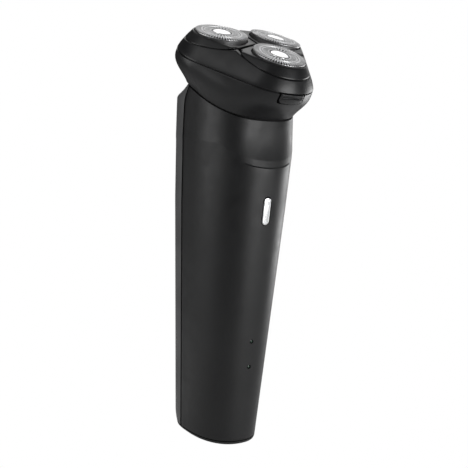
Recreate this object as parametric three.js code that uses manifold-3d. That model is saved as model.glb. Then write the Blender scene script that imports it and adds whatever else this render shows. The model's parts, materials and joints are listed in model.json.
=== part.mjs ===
// A cordless rotary shaver: tapered handle, tilted three-cap head that hinges open, and the works inside.
// Millimetres, +Z up. The origin is on the base plane at the handle's axis, and the front faces -Y.
import * as THREE from 'three';
import { mergeVertices } from 'three/addons/utils/BufferGeometryUtils.js';
import Module from 'manifold-3d';

const wasm = await Module();
wasm.setup();

// ---------- driving dimensions ----------
const degree = Math.PI / 180;
const gap = 0.3; // clear space between pieces that touch
const wall = 1.8; // moulded shell thickness

const handle = {
  taperTop: 120, // height where the straight taper ends
  halfWidthBase: 14.5,
  halfWidthTop: 20.5,
  frontDepthBase: 20,
  frontDepthTop: 27,
  rearDepthBase: 16.4,
  rearDepthTop: 24.1,
  frontExponent: 2.3,
  rearExponent: 3.6,
  shellBottom: 1.5,
};
const scoop = { height: 117, rise: 5, halfAngle: 60 * degree, step: 0.55, depth: 1.75, length: 12 };
const shoulder = { height: 141.5, blend: 2, slope: 1.5 };
const neck = { y: -1.3, z: 144, tilt: 20.8 * degree };
const split = { base: 5, slope: 0.03, bendFrom: 138, bend: 0.03 }; // where rear cover meets front shell

const head = { y: -12.1, z: 166.8, tilt: 18.9 * degree };
const rim = { height: -10.3, cornerCentre: 14, cornerRadius: 17.4 };
const crown = { height: -1.7, cornerCentre: 15.6, cornerRadius: 11.3, roundness: 1.5 };
const seam = { drop: 3.9, sideGap: 0.15, tipGap: 0.5 }; // wavy line between lid and pods
const bowlTop = -10.8;
const bowlFloor = -21.5;
const bowlBulge = { front: 1.6, rear: 2.6 };
const bowlCornerCut = 0; // the bowl keeps full rear corners and overhangs the handle's shoulder

const capPlace = { distance: 15.4, lean: 4 * degree, radius: 10.75 };
const podPivot = { distance: 14, height: -5, pinRadius: 0.8 };
const hinge = {
  y: 25.6,
  height: -10.55,
  barrelRadius: 1.5,
  pinRadius: 0.6,
  lidHalf: 4, // the lid's knuckle spans this far either side
  bowlFrom: 4.3, // the bowl's two knuckles stand outside it
  bowlTo: 7.8,
};
const socketY = 9;
const button = { z: 100.1, width: 3.2, length: 11.25 };
const lampHeights = { upper: 45.25, lower: 34.25 };

const gears = { module: 0.75, pinionTeeth: 16, wheelTeeth: 24, bottom: -17.2, top: -15.2 };
const wheelDistance = (gears.module * (gears.pinionTeeth + gears.wheelTeeth)) / 2;
const post = { distance: 17, radius: 2.4, boreRadius: 1.25 }; // screw posts that stand between the wheels
const gearPlate = { bottom: -18.9, top: -17.6 };
const gearCover = { bottom: -14.8, top: -13.7 };

const sectors = [
  { name: 'front', angle: -90 * degree },
  { name: 'right', angle: 30 * degree },
  { name: 'left', angle: 150 * degree },
];
const betweenSectors = [90, 210, 330].map((angle) => angle * degree);

// ---------- colours ----------
function finish(color, roughness, metalness) {
  return new THREE.MeshStandardMaterial({ color, roughness, metalness });
}
const finishes = {
  blackPlastic: () => finish(0x202124, 0.55, 0),
  rearPlastic: () => finish(0x26272a, 0.6, 0),
  satinPlastic: () => finish(0x26272a, 0.38, 0),
  innerPlastic: () => finish(0x3a3c40, 0.6, 0),
  whiteNylon: () => finish(0xd8d6cc, 0.5, 0),
  rubber: () => finish(0x151515, 0.85, 0),
  steel: () => finish(0xb9bcc0, 0.28, 1),
  polishedSteel: () => finish(0xe6e8ea, 0.12, 1),
  silverTrim: () => finish(0xe4e5e6, 0.3, 0.6),
  lens: () => finish(0xaab5a8, 0.2, 0),
  board: () => finish(0x1d5a34, 0.5, 0),
  cellWrap: () => finish(0x3f7fb5, 0.4, 0),
  brass: () => finish(0xc9a24a, 0.35, 1),
  redLead: () => finish(0xa32020, 0.5, 0),
  blackLead: () => finish(0x181818, 0.5, 0),
};

// ---------- geometry helpers ----------
function sharedVertices(geometry) {
  if (geometry.userData.shared) return geometry;
  const bare = geometry.clone();
  bare.deleteAttribute('normal');
  bare.deleteAttribute('uv');
  const merged = mergeVertices(bare, 1e-4);
  const corners = merged.getIndex().array;
  const kept = [];
  for (let i = 0; i < corners.length; i += 3) {
    const [a, b, c] = corners.slice(i, i + 3);
    if (a !== b && b !== c && c !== a) kept.push(a, b, c);
  }
  merged.setIndex(kept);
  return merged;
}

function toSolid(geometry) {
  const merged = sharedVertices(geometry);
  return new wasm.Manifold(new wasm.Mesh({
    numProp: 3,
    vertProperties: Float32Array.from(merged.getAttribute('position').array),
    triVerts: Uint32Array.from(merged.getIndex().array),
  }));
}

function toGeometry(solid) {
  const mesh = solid.getMesh();
  const geometry = new THREE.BufferGeometry();
  geometry.setAttribute('position', new THREE.BufferAttribute(Float32Array.from(mesh.vertProperties), 3));
  geometry.setIndex([...mesh.triVerts]);
  geometry.userData.shared = true;
  return geometry;
}

function join(...pieces) {
  return toGeometry(pieces.map(toSolid).reduce((a, b) => a.add(b)));
}

function cut(body, ...tools) {
  return toGeometry(tools.map(toSolid).reduce((a, b) => a.subtract(b), toSolid(body)));
}

function common(a, b) {
  return toGeometry(toSolid(a).intersect(toSolid(b)));
}

function block([x0, x1], [y0, y1], [z0, z1]) {
  const geometry = new THREE.BoxGeometry(x1 - x0, y1 - y0, z1 - z0);
  return geometry.translate((x0 + x1) / 2, (y0 + y1) / 2, (z0 + z1) / 2);
}

function slab(bottom, top) {
  return block([-60, 60], [-60, 60], [bottom, top]);
}

// A round bar along Z.
function bar(radius, from, to, { x = 0, y = 0, sides = 16 } = {}) {
  const geometry = new THREE.CylinderGeometry(radius, radius, to - from, sides);
  return geometry.rotateX(Math.PI / 2).translate(x, y, (from + to) / 2);
}

function barAlongX(radius, from, to, y, z, sides = 12) {
  const geometry = new THREE.CylinderGeometry(radius, radius, to - from, sides);
  return geometry.rotateZ(-Math.PI / 2).translate((from + to) / 2, y, z);
}

function barAlongY(radius, from, to, x, z, sides = 10) {
  const geometry = new THREE.CylinderGeometry(radius, radius, to - from, sides);
  return geometry.translate(x, (from + to) / 2, z);
}

// A body turned about Z. The profile is [radius, height] pairs, up its outside and back to the axis.
function turned(profile, sides = 32) {
  const points = profile.map(([radius, height]) => new THREE.Vector2(radius, height));
  return new THREE.LatheGeometry(points, sides).rotateX(Math.PI / 2);
}

function turnedRing(profile, sides = 32) {
  return turned([...profile, profile[0]], sides);
}

function rodBetween(radius, from, to, sides = 12) {
  const axis = new THREE.Vector3().subVectors(to, from);
  const up = new THREE.Vector3(0, 1, 0);
  const turn = new THREE.Quaternion().setFromUnitVectors(up, axis.clone().normalize());
  const geometry = new THREE.CylinderGeometry(radius, radius, axis.length(), sides).applyQuaternion(turn);
  return geometry.translate(...new THREE.Vector3().addVectors(from, to).multiplyScalar(0.5).toArray());
}

function flatShape(points) {
  return new THREE.Shape(points.map(([x, y]) => new THREE.Vector2(x, y)));
}

function extruded(shape, bottom, top) {
  const settings = { depth: top - bottom, bevelEnabled: false, curveSegments: 6 };
  const geometry = new THREE.ExtrudeGeometry(shape, settings);
  return geometry.translate(0, 0, bottom);
}

// A slot with round ends, long along Y, extruded up Z.
function slot(width, length, bottom, top) {
  const radius = width / 2;
  const reach = length / 2 - radius;
  const shape = new THREE.Shape();
  shape.absarc(0, reach, radius, 0, Math.PI, false);
  shape.absarc(0, -reach, radius, Math.PI, 2 * Math.PI, false);
  return extruded(shape, bottom, top);
}

// The same slot standing up in the XZ plane and extruded along Y.
function capsule(width, length, from, to, z) {
  return slot(width, length, from, to).rotateX(Math.PI / 2).rotateZ(Math.PI).translate(0, 0, z);
}

// A closed skin over a stack of rings that have the same number of points, counter-clockwise from above.
function loft(rings) {
  const count = rings[0].length;
  const ends = [rings[0], rings.at(-1)];
  const middleOf = (ring) => ring.reduce((sum, p) => sum.add(p), new THREE.Vector3()).divideScalar(count);
  const middles = ends.map(middleOf);
  const points = [...rings.flat(), ...middles];
  const top = (rings.length - 1) * count;
  const index = [];
  for (let i = 0; i < count; i += 1) {
    const next = (i + 1) % count;
    for (let level = 0; level < top; level += count) {
      const corners = [level + i, level + next, level + next + count, level + i + count];
      index.push(corners[0], corners[1], corners[2], corners[0], corners[2], corners[3]);
    }
    index.push(points.length - 2, next, i, points.length - 1, top + i, top + next);
  }
  return meshOf(points, index);
}

// A closed hoop: sections stand one after another round a circle, and the last joins the first.
function hoop(sections) {
  const around = sections.length;
  const count = sections[0].length;
  const index = [];
  for (let i = 0; i < around; i += 1) {
    for (let j = 0; j < count; j += 1) {
      const a = i * count + j;
      const b = i * count + ((j + 1) % count);
      const c = ((i + 1) % around) * count + j;
      const d = ((i + 1) % around) * count + ((j + 1) % count);
      index.push(a, c, d, a, d, b);
    }
  }
  return meshOf(sections.flat(), index);
}

function meshOf(points, index) {
  const geometry = new THREE.BufferGeometry().setFromPoints(points);
  geometry.setIndex(index);
  return geometry;
}

function angles(count) {
  return Array.from({ length: count }, (_, i) => (i * 2 * Math.PI) / count);
}

function node(name, geometry, material) {
  const mesh = new THREE.Mesh(sharedVertices(geometry), material());
  mesh.name = name;
  return mesh;
}

// ---------- handle surface ----------
function above(value, limit) {
  return Math.max(0, value - limit);
}

function handleSizes(z) {
  const low = Math.min(z, handle.taperTop) / handle.taperTop;
  const high = above(z, handle.taperTop);
  const past = above(z, shoulder.height);
  const blended = Math.min(past, shoulder.blend);
  const rounded = (shoulder.slope * blended ** 2) / (2 * shoulder.blend);
  const drop = rounded + shoulder.slope * above(past, shoulder.blend);
  const rearGrowth = (handle.rearDepthTop - handle.rearDepthBase) / handle.taperTop;
  return {
    halfWidth: handle.halfWidthBase + (handle.halfWidthTop - handle.halfWidthBase) * low - 0.008 * high,
    front: handle.frontDepthBase + (handle.frontDepthTop - handle.frontDepthBase) * low - 0.0915 * high,
    rear: handle.rearDepthBase + rearGrowth * z - drop,
    drop,
  };
}

// The finger rest: zero below the crease, a small step at it, then a shallow hollow above.
function scoopDepth(z) {
  const past = (z - scoop.height) / scoop.length;
  if (past <= 0) return 0;
  return scoop.step + scoop.depth * Math.sin(Math.min(past, 1.35) * Math.PI * 0.5);
}

function frontShare(angle) {
  return Math.min(1, Math.abs(Math.atan2(Math.cos(angle), -Math.sin(angle))) / scoop.halfAngle);
}

function signedPower(value, power) {
  return Math.sign(value) * Math.abs(value) ** power;
}

function handlePoint(angle, z, inset = 0, rise = 0, cornerCut = 1) {
  const { halfWidth, front, rear, drop } = handleSizes(z);
  const inFront = Math.sin(angle) < 0;
  const power = 2 / (inFront ? handle.frontExponent : handle.rearExponent);
  const share = frontShare(angle);
  const hollow = scoopDepth(z) * Math.cos((share * Math.PI) / 2) ** 2;
  const side = halfWidth - inset - cornerCut * drop * Math.max(0, Math.sin(angle)) ** 2;
  const x = side * signedPower(Math.cos(angle), power);
  const y = ((inFront ? front : rear) - inset) * signedPower(Math.sin(angle), power) + hollow;
  return new THREE.Vector3(x, y, z + scoop.rise * rise * share ** 2);
}

function handleLoft(levels, inset, sides) {
  return loft(levels.map(([z, rise]) => angles(sides).map((angle) => handlePoint(angle, z, inset, rise))));
}

function splitLine(z) {
  return split.base + split.slope * z - split.bend * above(z, split.bendFrom) ** 2;
}

function neckHeight(y) {
  return neck.z + Math.tan(neck.tilt) * (y - neck.y);
}

// Where the handle's side line at this angle meets the tilted neck plane.
function neckPoint(angle, inset = 0, cornerCut = 1) {
  let z = neck.z;
  for (let round = 0; round < 60; round += 1) {
    z = (z + neckHeight(handlePoint(angle, z, inset, 0, cornerCut).y)) / 2;
  }
  return handlePoint(angle, z, inset, 0, cornerCut);
}

function neckRing(inset, lift, sides) {
  const shift = new THREE.Vector3(0, -Math.sin(neck.tilt), Math.cos(neck.tilt)).multiplyScalar(lift);
  return angles(sides).map((angle) => neckPoint(angle, inset).add(shift));
}

// ---------- handle pieces ----------
function handleShell() {
  const crease = scoop.height;
  const heights = [
    [handle.shellBottom, 0], [100, 0], [110, 0.5], [crease - 0.05, 1], [crease + 0.05, 1],
    [121, 0.7], [126, 0.4], [132, 0.1], [137, 0], [shoulder.height, 0], [143.5, 0], [156, 0],
  ];
  const hollow = [0, 100, 118, 126, 137, shoulder.height, 143.5, 157].map((z) => [z, 0]);
  const outside = handleLoft(heights, 0, 36);
  const inside = handleLoft(hollow, wall, 24);
  const aboveNeck = block([-60, 60], [-60, 60], [0, 60]).rotateX(neck.tilt).translate(0, neck.y, neck.z);
  return cut(outside, inside, aboveNeck);
}

// Everything behind the side line, moved back by the given clearance.
function behindSplit(clearance) {
  const heights = [-5, split.bendFrom, 142, 146, 150, 160];
  const line = heights.map((z) => [splitLine(z) + clearance, z]);
  const shape = flatShape([...line, [60, 160], [60, -5]]);
  return extruded(shape, -60, 60).rotateY(Math.PI / 2).rotateX(Math.PI / 2);
}

function panelFrame() {
  const group = new THREE.Group();
  const slope = (handle.frontDepthTop - handle.frontDepthBase) / handle.taperTop;
  group.position.set(0, -handle.frontDepthBase, 0);
  group.rotation.x = Math.atan(slope);
  group.updateMatrix();
  return group;
}
const panel = panelFrame();

function frontShell(shell) {
  const keyhole = capsule(button.width + 2 * gap, button.length + 2 * gap, -3, 4, button.z);
  const lampHoles = Object.values(lampHeights).map((z) => barAlongY(0.85, -3, 4, 0, z));
  const tools = [keyhole, ...lampHoles].map((tool) => tool.applyMatrix4(panel.matrix));
  return cut(shell, behindSplit(-gap / 2), ...tools);
}

function baseCap() {
  const ring = (z, inset, rounding = 0) => angles(36).map((angle) => {
    return handlePoint(angle, z, inset + rounding * (1.6 + Math.sin(angle))).setZ(z);
  });
  const plug = wall + gap;
  const body = loft([
    ring(0, 0, 0.8), ring(0.3, 0, 0.3), ring(1.2, 0), ring(1.2, plug), ring(4.5, plug),
  ]);
  const pocket = loft([ring(2.2, plug + 1.5), ring(6, plug + 1.5)]);
  const collar = slot(6, 11.8, 1.8, 4.5).rotateZ(Math.PI / 2).translate(0, socketY, 0);
  const inlet = slot(3.8, 9.5, -1, 10).rotateZ(Math.PI / 2).translate(0, socketY, 0);
  return cut(join(cut(body, pocket), collar), inlet);
}

function chargingSocket() {
  const sleeve = slot(3.2, 8.9, 0.8, 8.2).rotateZ(Math.PI / 2);
  const mouth = slot(2.6, 8.3, -1, 7).rotateZ(Math.PI / 2);
  const tongue = block([-3.3, 3.3], [-0.35, 0.35], [1.6, 7.4]);
  return join(cut(sleeve, mouth), tongue).translate(0, socketY, 0);
}

function powerButton() {
  const key = capsule(button.width, button.length, -0.35, 2.6, button.z);
  const flange = capsule(button.width + 1.8, button.length + 1.8, 2.5, 3.2, button.z);
  const stem = barAlongY(1, 3, 4.1, 0, button.z, 12);
  return join(key, flange, stem);
}

function buttonGasket() {
  const outside = capsule(button.width + 4.4, button.length + 4.4, 3.3, 4, button.z);
  const hole = capsule(button.width + 2.4, button.length + 2.4, 2, 5, button.z);
  return cut(outside, hole);
}

const boardDepth = { front: 8.2, back: 9.8 };

function circuitBoard() {
  const board = block([-8.5, 8.5], [boardDepth.front, boardDepth.back], [28, 112]);
  return cut(board, ...boardScrewPlaces.map(([x, z]) => barAlongY(1.2, 5, 12, x, z)));
}
const boardScrewPlaces = [[-5.5, 60], [5.5, 78]];

function tactSwitch() {
  const body = block([-3, 3], [5.7, boardDepth.front - gap], [button.z - 3, button.z + 3]);
  return join(body, barAlongY(1.2, 4.9, 6, 0, button.z));
}

function statusLamp(z) {
  return block([-0.8, 0.8], [7, boardDepth.front - gap], [z - 0.5, z + 0.5]);
}

function statusLens(z) {
  return barAlongY(0.55, -0.03, 6.6, 0, z, 12);
}

function boardScrew(x, z) {
  const profile = [[0, 0], [0.9, 0], [0.9, 4.4], [1.9, 4.4], [1.9, 5.2], [1.3, 5.6], [0, 5.6]];
  const recess = block([-1.1, 1.1], [-0.25, 0.25], [5.1, 6]);
  const screw = cut(turned(profile, 12), recess);
  return screw.rotateX(Math.PI / 2).translate(x, boardDepth.front + 4.1, z);
}

const cell = { radius: 7, y: 3.5, bottom: 18, top: 67 };

function batteryCell() {
  const { radius, bottom, top } = cell;
  const profile = [[0, bottom], [radius - 0.5, bottom], [radius, bottom + 0.5], [radius, top - 2.2]];
  const crest = [[radius - 0.6, top - 1.7], [3.2, top - 1.5], [2.6, top - 0.2], [0, top - 0.2]];
  return turned([...profile, ...crest], 24).translate(0, cell.y, 0);
}

function batteryTab(from, to) {
  return block([-3, 3], [cell.y - 5, cell.y + 4], [from, to]);
}

function innerChassis() {
  const plate = block([-10, 10], [11, 12.6], [9, 119]).applyMatrix4(panel.matrix);
  const holes = boardScrewPlaces.map(([x, z]) => barAlongY(1.2, 8, 15, x, z).applyMatrix4(panel.matrix));
  const shelves = [[14.5, 16.5], [69, 71]].map((level) => block([-7, 7], [-10.5, 10], level));
  const stays = [-6.6, 6.6].map((x) => block([x - 1, x + 1], [-10.5, 12], [14.5, 71]));
  const sideClear = bar(cell.radius + 0.7, 16.5, 69, { y: cell.y, sides: 28 });
  const cradle = cut(bar(12.8, -52, -45, { sides: 32 }), bar(11.3, -60, -40, { sides: 32 }));
  const arm = block([-5, 5], [-19.6, -12], [-51, -46]);
  const motorHold = join(cradle, arm).applyMatrix4(headFrame.matrix);
  return cut(join(plate, ...shelves, ...stays, motorHold), sideClear, ...holes);
}

// ---------- head surfaces, in the head's own frame ----------
function makeHeadFrame() {
  const group = new THREE.Group();
  group.position.set(0, head.y, head.z);
  group.rotation.x = head.tilt;
  group.updateMatrix();
  return group;
}
const headFrame = makeHeadFrame();
const toHead = headFrame.matrix.clone().invert();

// Radius of a rounded triangle whose corners point along 0, 120 and 240 degrees.
function roundedTriangle(angle, centre, radius) {
  const third = (2 * Math.PI) / 3;
  const fromCorner = Math.abs(angle - third * Math.round(angle / third));
  const arcEnd = Math.atan2(radius * Math.sin(Math.PI / 3), centre + radius / 2);
  if (fromCorner > arcEnd) return (centre / 2 + radius) / Math.cos(Math.PI / 3 - fromCorner);
  return centre * Math.cos(fromCorner) + Math.sqrt(radius ** 2 - (centre * Math.sin(fromCorner)) ** 2);
}

// The head's side surface, from the rim (share 0) up to the crown (share 1).
function headPoint(angle, share, inset, corner) {
  const open = 1 - Math.max(0, share) ** crown.roundness;
  const centre = crown.cornerCentre + (rim.cornerCentre - crown.cornerCentre) * open;
  const radius = crown.cornerRadius + (rim.cornerRadius - crown.cornerRadius) * open;
  const reach = roundedTriangle(angle - corner, centre, radius) - inset;
  const height = rim.height + (crown.height - rim.height) * share;
  return new THREE.Vector3(reach * Math.cos(angle), reach * Math.sin(angle), height);
}

function shareAt(height) {
  return (height - rim.height) / (crown.height - rim.height);
}

// Height of the wavy line: lowest over each corner, highest midway between corners.
function seamHeight(angle, corner) {
  return crown.height - seam.drop * Math.abs(Math.cos(1.5 * (angle - corner)));
}

function bowlPoint(angle, share, inset) {
  const side = new THREE.Vector3(Math.cos(angle), Math.sin(angle), 0);
  const low = neckPoint(angle, 0, bowlCornerCut).applyMatrix4(toHead).addScaledVector(side, -inset);
  const reach = roundedTriangle(angle - sectors[0].angle, rim.cornerCentre, rim.cornerRadius) - inset;
  const high = side.clone().multiplyScalar(reach).setZ(bowlTop);
  const towardsRear = Math.sqrt(Math.max(0, side.y));
  const bulge = bowlBulge.front + (bowlBulge.rear - bowlBulge.front) * towardsRear;
  const base = low.setZ(low.z + gap + 0.2);
  return base.lerp(high, share).addScaledVector(side, bulge * Math.sin(Math.PI * share ** 1.4));
}

function bowlLoft(inset, sides, shares) {
  const rings = shares.map((share) => angles(sides).map((angle) => bowlPoint(angle, share, inset)));
  const last = rings.at(-1).map((point) => point.clone().setZ(bowlTop + 1));
  return loft(inset > 0 ? [...rings, last] : rings);
}

const bowlShares = [0, 0.25, 0.5, 0.75, 1];
const bowlSides = 36;
const buttonNotch = { halfWidth: 5.8, bottom: -15.3, depth: 2.2 };

function hairChamber() {
  const outside = bowlLoft(0, bowlSides, bowlShares);
  const hollow = common(bowlLoft(wall, bowlSides, bowlShares), slab(bowlFloor, 0));
  const posts = betweenSectors.map((angle) => {
    return gearPost(angle, post.radius, bowlFloor - 1, gearPlate.bottom - gap);
  });
  const bores = betweenSectors.map((angle) => gearPost(angle, post.boreRadius, bowlFloor - 0.5, -10));
  const shaftHole = bar(4, -40, 0);
  const { halfWidth, bottom } = buttonNotch;
  const notch = block([-halfWidth, halfWidth], [-45, -22], [bottom, 0]);
  const { lidHalf, bowlFrom, bowlTo, barrelRadius } = hinge;
  const lidClear = barAlongX(barrelRadius + gap, -lidHalf - gap, lidHalf + gap, hinge.y, hinge.height);
  const knuckles = [[-bowlTo, -bowlFrom], [bowlFrom, bowlTo]].map((span) => knuckle(...span));
  const pinHole = barAlongX(hinge.pinRadius + gap / 2, -20, 20, hinge.y, hinge.height, 12);
  const body = cut(outside, hollow, notch, lidClear);
  return cut(join(body, ...posts, ...knuckles), shaftHole, pinHole, ...bores);
}

// A hinge barrel with a foot that reaches into the wall it grows from.
function knuckle(from, to, foot = -1) {
  const barrel = barAlongX(hinge.barrelRadius, from, to, hinge.y, hinge.height);
  const height = [hinge.height - (foot < 0 ? 3 : -0.5), hinge.height + (foot < 0 ? -0.5 : 3)];
  return join(barrel, block([from, to], [hinge.y - 2.4, hinge.y - 0.4], height));
}

function gearPost(angle, radius, bottom, top) {
  const x = post.distance * Math.cos(angle);
  const y = post.distance * Math.sin(angle);
  return bar(radius, bottom, top, { x, y, sides: 10 });
}

function releaseButton() {
  const shell = cut(bowlLoft(0, 84, bowlShares), bowlLoft(buttonNotch.depth, 84, bowlShares));
  const reach = buttonNotch.halfWidth - gap;
  return common(shell, block([-reach, reach], [-45, -20], [buttonNotch.bottom + gap, bowlTop - 0.1]));
}

function lidFrame() {
  const corner = sectors[0].angle;
  const sections = angles(36).map((angle) => {
    const top = shareAt(seamHeight(angle, corner) - seam.sideGap);
    const outer = [0, 0.35, 0.7, 1].map((part) => headPoint(angle, top * part, 0, corner));
    const inner = [1, 0.5, 0].map((part) => headPoint(angle, top * part, wall, corner));
    return [...outer, ...inner];
  });
  const floorTop = rim.height + 1.5;
  const floorRing = (height) => angles(36).map((angle) => headPoint(angle, shareAt(height), 1, corner));
  const floor = loft([floorRing(rim.height), floorRing(floorTop)]);
  const windows = sectors.map(({ angle }) => {
    return bar(9.5, -20, 0, { x: 15 * Math.cos(angle), y: 15 * Math.sin(angle), sides: 24 });
  });
  const posts = sectors.flatMap(({ angle }) => [-1, 1].map((side) => pivotPost(angle, side, floorTop)));
  const latch = block([-2, 2], [-26, -24.9], [-12.6, -9]);
  const { lidHalf, bowlFrom, bowlTo, barrelRadius } = hinge;
  const knuckleClear = [[-bowlTo - gap, -bowlFrom + gap], [bowlFrom - gap, bowlTo + gap]].map((span) => {
    return barAlongX(barrelRadius + gap, ...span, hinge.y, hinge.height);
  });
  const pinHole = barAlongX(hinge.pinRadius + gap / 2, -20, 20, hinge.y, hinge.height, 12);
  const plate = cut(floor, ...windows);
  const frame = cut(join(hoop(sections), plate), ...knuckleClear);
  return cut(join(frame, ...posts, latch, knuckle(-lidHalf, lidHalf, 1)), pinHole);
}

// A post on the lid's floor with the bearing hole that one of a pod's side pins turns in.
function pivotPost(angle, side, floorTop) {
  const { distance, height, pinRadius } = podPivot;
  const post = block([distance - 1.4, distance + 1.4], [13.1, 14.7], [floorTop - 0.5, height + 1.2]);
  const bearing = barAlongY(pinRadius + 0.2, 12, 16, distance, height, 12);
  return cut(post, bearing).applyMatrix4(mirroredAbout(side)).rotateZ(angle);
}

// The left-hand twin of a piece is the right-hand one turned half round about the pod's own radius.
function mirroredAbout(side) {
  const { distance } = podPivot;
  const turn = new THREE.Matrix4();
  if (side > 0) return turn;
  turn.makeTranslation(distance, 0, 0);
  turn.multiply(new THREE.Matrix4().makeRotationZ(Math.PI));
  return turn.multiply(new THREE.Matrix4().makeTranslation(-distance, 0, 0));
}

// ---------- pods, modelled with their corner along +X ----------
function leanOut(geometry) {
  return geometry.rotateY(capPlace.lean).translate(capPlace.distance, 0, 0);
}

function podShell() {
  const ring = (height, inset) => angles(36).map((angle) => headPoint(angle, shareAt(height), inset, 0));
  const crownRing = (scale, height) => {
    return ring(crown.height, 0).map((point) => point.multiplyScalar(scale).setZ(height));
  };
  const outside = loft([
    ...[-7.4, -5.5, -3.7, -2.4].map((height) => ring(height, 0)),
    ring(crown.height, 0), crownRing(0.95, crown.height + 0.25), crownRing(0.5, -1.25),
  ]);
  const hollow = loft([-8, -5.5, -3.2].map((height) => ring(height, 1.5)));
  const tube = leanOut(bar(12.6, -6.8, -2.2, { sides: 24 }));
  const { distance, height, pinRadius } = podPivot;
  const pinEnds = [-15, 15].map((y) => new THREE.Vector3(distance, y, height));
  const pins = rodBetween(pinRadius, ...pinEnds);
  const bore = leanOut(bar(capPlace.radius + 0.25, -8, 4, { sides: 24 }));
  const socket = leanOut(bar(11.6, -12, -3, { sides: 24 }));
  const shell = join(cut(outside, hollow), common(tube, outside), pins);
  return common(cut(shell, seamClearance(), bore, socket), podWedge());
}

// The space that the lid's wavy top edge needs, with a wider gap at the tips between pods.
function seamClearance() {
  return hoop(angles(36).map((angle) => {
    const between = 1 - Math.abs(Math.cos(1.5 * angle));
    const line = seamHeight(angle, 0) + seam.sideGap + seam.tipGap * between;
    const outer = headPoint(angle, shareAt(line), -12, 0);
    const inner = headPoint(angle, shareAt(line), wall + 0.6, 0);
    return [outer.clone().setZ(-14), outer, inner, inner.clone().setZ(-14)];
  }));
}

function podWedge() {
  const half = 0.5;
  const third = Math.PI / 3;
  const far = 60;
  const apex = half / Math.sin(third);
  const edge = [apex + far * Math.cos(third), far * Math.sin(third)];
  const shape = flatShape([[apex, 0], [edge[0], -edge[1]], [far, -edge[1]], [far, edge[1]], edge]);
  return extruded(shape, -14, 6);
}

// ---------- pieces on a cap's own axis, with the shaving face at height 0 ----------
function shavingCap() {
  return turned([
    [0, -1.2], [4.6, -1.2], [4.9, -0.65], [10.1, -0.65], [10.1, -4.2],
    [11.3, -4.2], [11.3, -3.4], [capPlace.radius, -3.4],
    [capPlace.radius, -0.4], [10.35, 0], [4.1, 0], [4.1, -0.75], [0, -0.75],
  ], 24);
}

function capHub() {
  return turned([[0, -0.45], [3.7, -0.45], [3.7, -0.2], [3.3, 0], [0, 0.1]], 20);
}

const blades = 9;
const socketDepth = { mouth: -6.7, top: -4.2 };

function cutter() {
  const disc = turned([
    [0, socketDepth.mouth], [3.2, socketDepth.mouth], [3.2, -3.8], [9.5, -3.8],
    [9.5, -3], [4.6, -3], [4.2, -1.6], [0, -1.6],
  ], 20);
  const teeth = angles(blades).map((angle) => {
    return block([5.1, 9.3], [-0.35, 0.35], [-3.2, -0.95]).rotateX(0.35).rotateZ(angle);
  });
  const hexSocket = bar(2, socketDepth.mouth - 1, socketDepth.top, { sides: 6 });
  return cut(join(disc, ...teeth), hexSocket);
}

function retainerRing() {
  return turnedRing([[8.6, -7], [11.2, -7], [11.2, -5.4], [9.4, -5.4], [8.6, -6]], 24);
}

// ---------- drive train, on the head's centre line or on a wheel's own axis ----------
function gearShape(teeth, phase) {
  const pitch = (2 * Math.PI) / teeth;
  const radius = (gears.module * teeth) / 2;
  const root = radius - 1.1 * gears.module;
  const tip = radius + 0.9 * gears.module;
  const corners = [[root, -0.27], [tip, -0.12], [tip, 0.12], [root, 0.27]];
  return flatShape(angles(teeth).flatMap((angle) => corners.map(([reach, part]) => {
    const turn = phase + angle + part * pitch;
    return [reach * Math.cos(turn), reach * Math.sin(turn)];
  })));
}

function drivePinion() {
  const toothed = extruded(gearShape(gears.pinionTeeth, 0), gears.bottom, gears.top);
  return cut(toothed, bar(1, -20, -10, { sides: 12 }));
}

// A wheel's teeth stand in the pinion's gaps on the line between the two axes.
function driveGear(angle) {
  const pinionPitch = (2 * Math.PI) / gears.pinionTeeth;
  const offset = Math.round(angle / pinionPitch) * pinionPitch - angle;
  const turnBack = (offset * gears.pinionTeeth) / gears.wheelTeeth;
  const phase = angle + Math.PI - turnBack + Math.PI / gears.wheelTeeth;
  const toothed = extruded(gearShape(gears.wheelTeeth, phase), gears.bottom, gears.top);
  return cut(toothed, bar(1.3, -20, -10, { sides: 10 }));
}

function spindle() {
  const shaft = turned([
    [0, -18.7], [1, -18.7], [1, -9.2], [2.3, -9.2], [2.3, -8.6], [1, -8.6], [0.9, -7.2], [0, -7.2],
  ], 12);
  return join(shaft, bar(1.25, -7.3, -5.5, { sides: 6 }));
}

function spindleSpring() {
  return coil({ radius: 1.75, wire: 0.22, from: -10.8, to: -9.5, turns: 2 });
}

function coil({ radius, wire, from, to, turns }) {
  const steps = turns * 8;
  const points = Array.from({ length: steps + 1 }, (_, i) => {
    const turn = (i / steps) * turns * 2 * Math.PI;
    const height = from + wire + ((to - from - 2 * wire) * i) / steps;
    return new THREE.Vector3(radius * Math.cos(turn), radius * Math.sin(turn), height);
  });
  return tube(points, wire, steps, 4);
}

function tube(points, radius, steps, sides) {
  const section = flatShape(angles(sides).map((angle) => {
    return [radius * Math.cos(angle), radius * Math.sin(angle)];
  }));
  const extrudePath = new THREE.CatmullRomCurve3(points);
  return new THREE.ExtrudeGeometry(section, { steps, bevelEnabled: false, extrudePath });
}

function gearPlateSolid(clearance, { bottom, top }) {
  return common(bowlLoft(wall + clearance, bowlSides, bowlShares), slab(bottom, top));
}

function transmissionPlate() {
  const bearings = sectors.map(({ angle }) => wheelBar(angle, 1.25));
  const screwHoles = betweenSectors.map((angle) => gearPost(angle, post.boreRadius, -30, 0));
  return cut(gearPlateSolid(gap + 0.1, gearPlate), bar(4, -30, 0), ...bearings, ...screwHoles);
}

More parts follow.
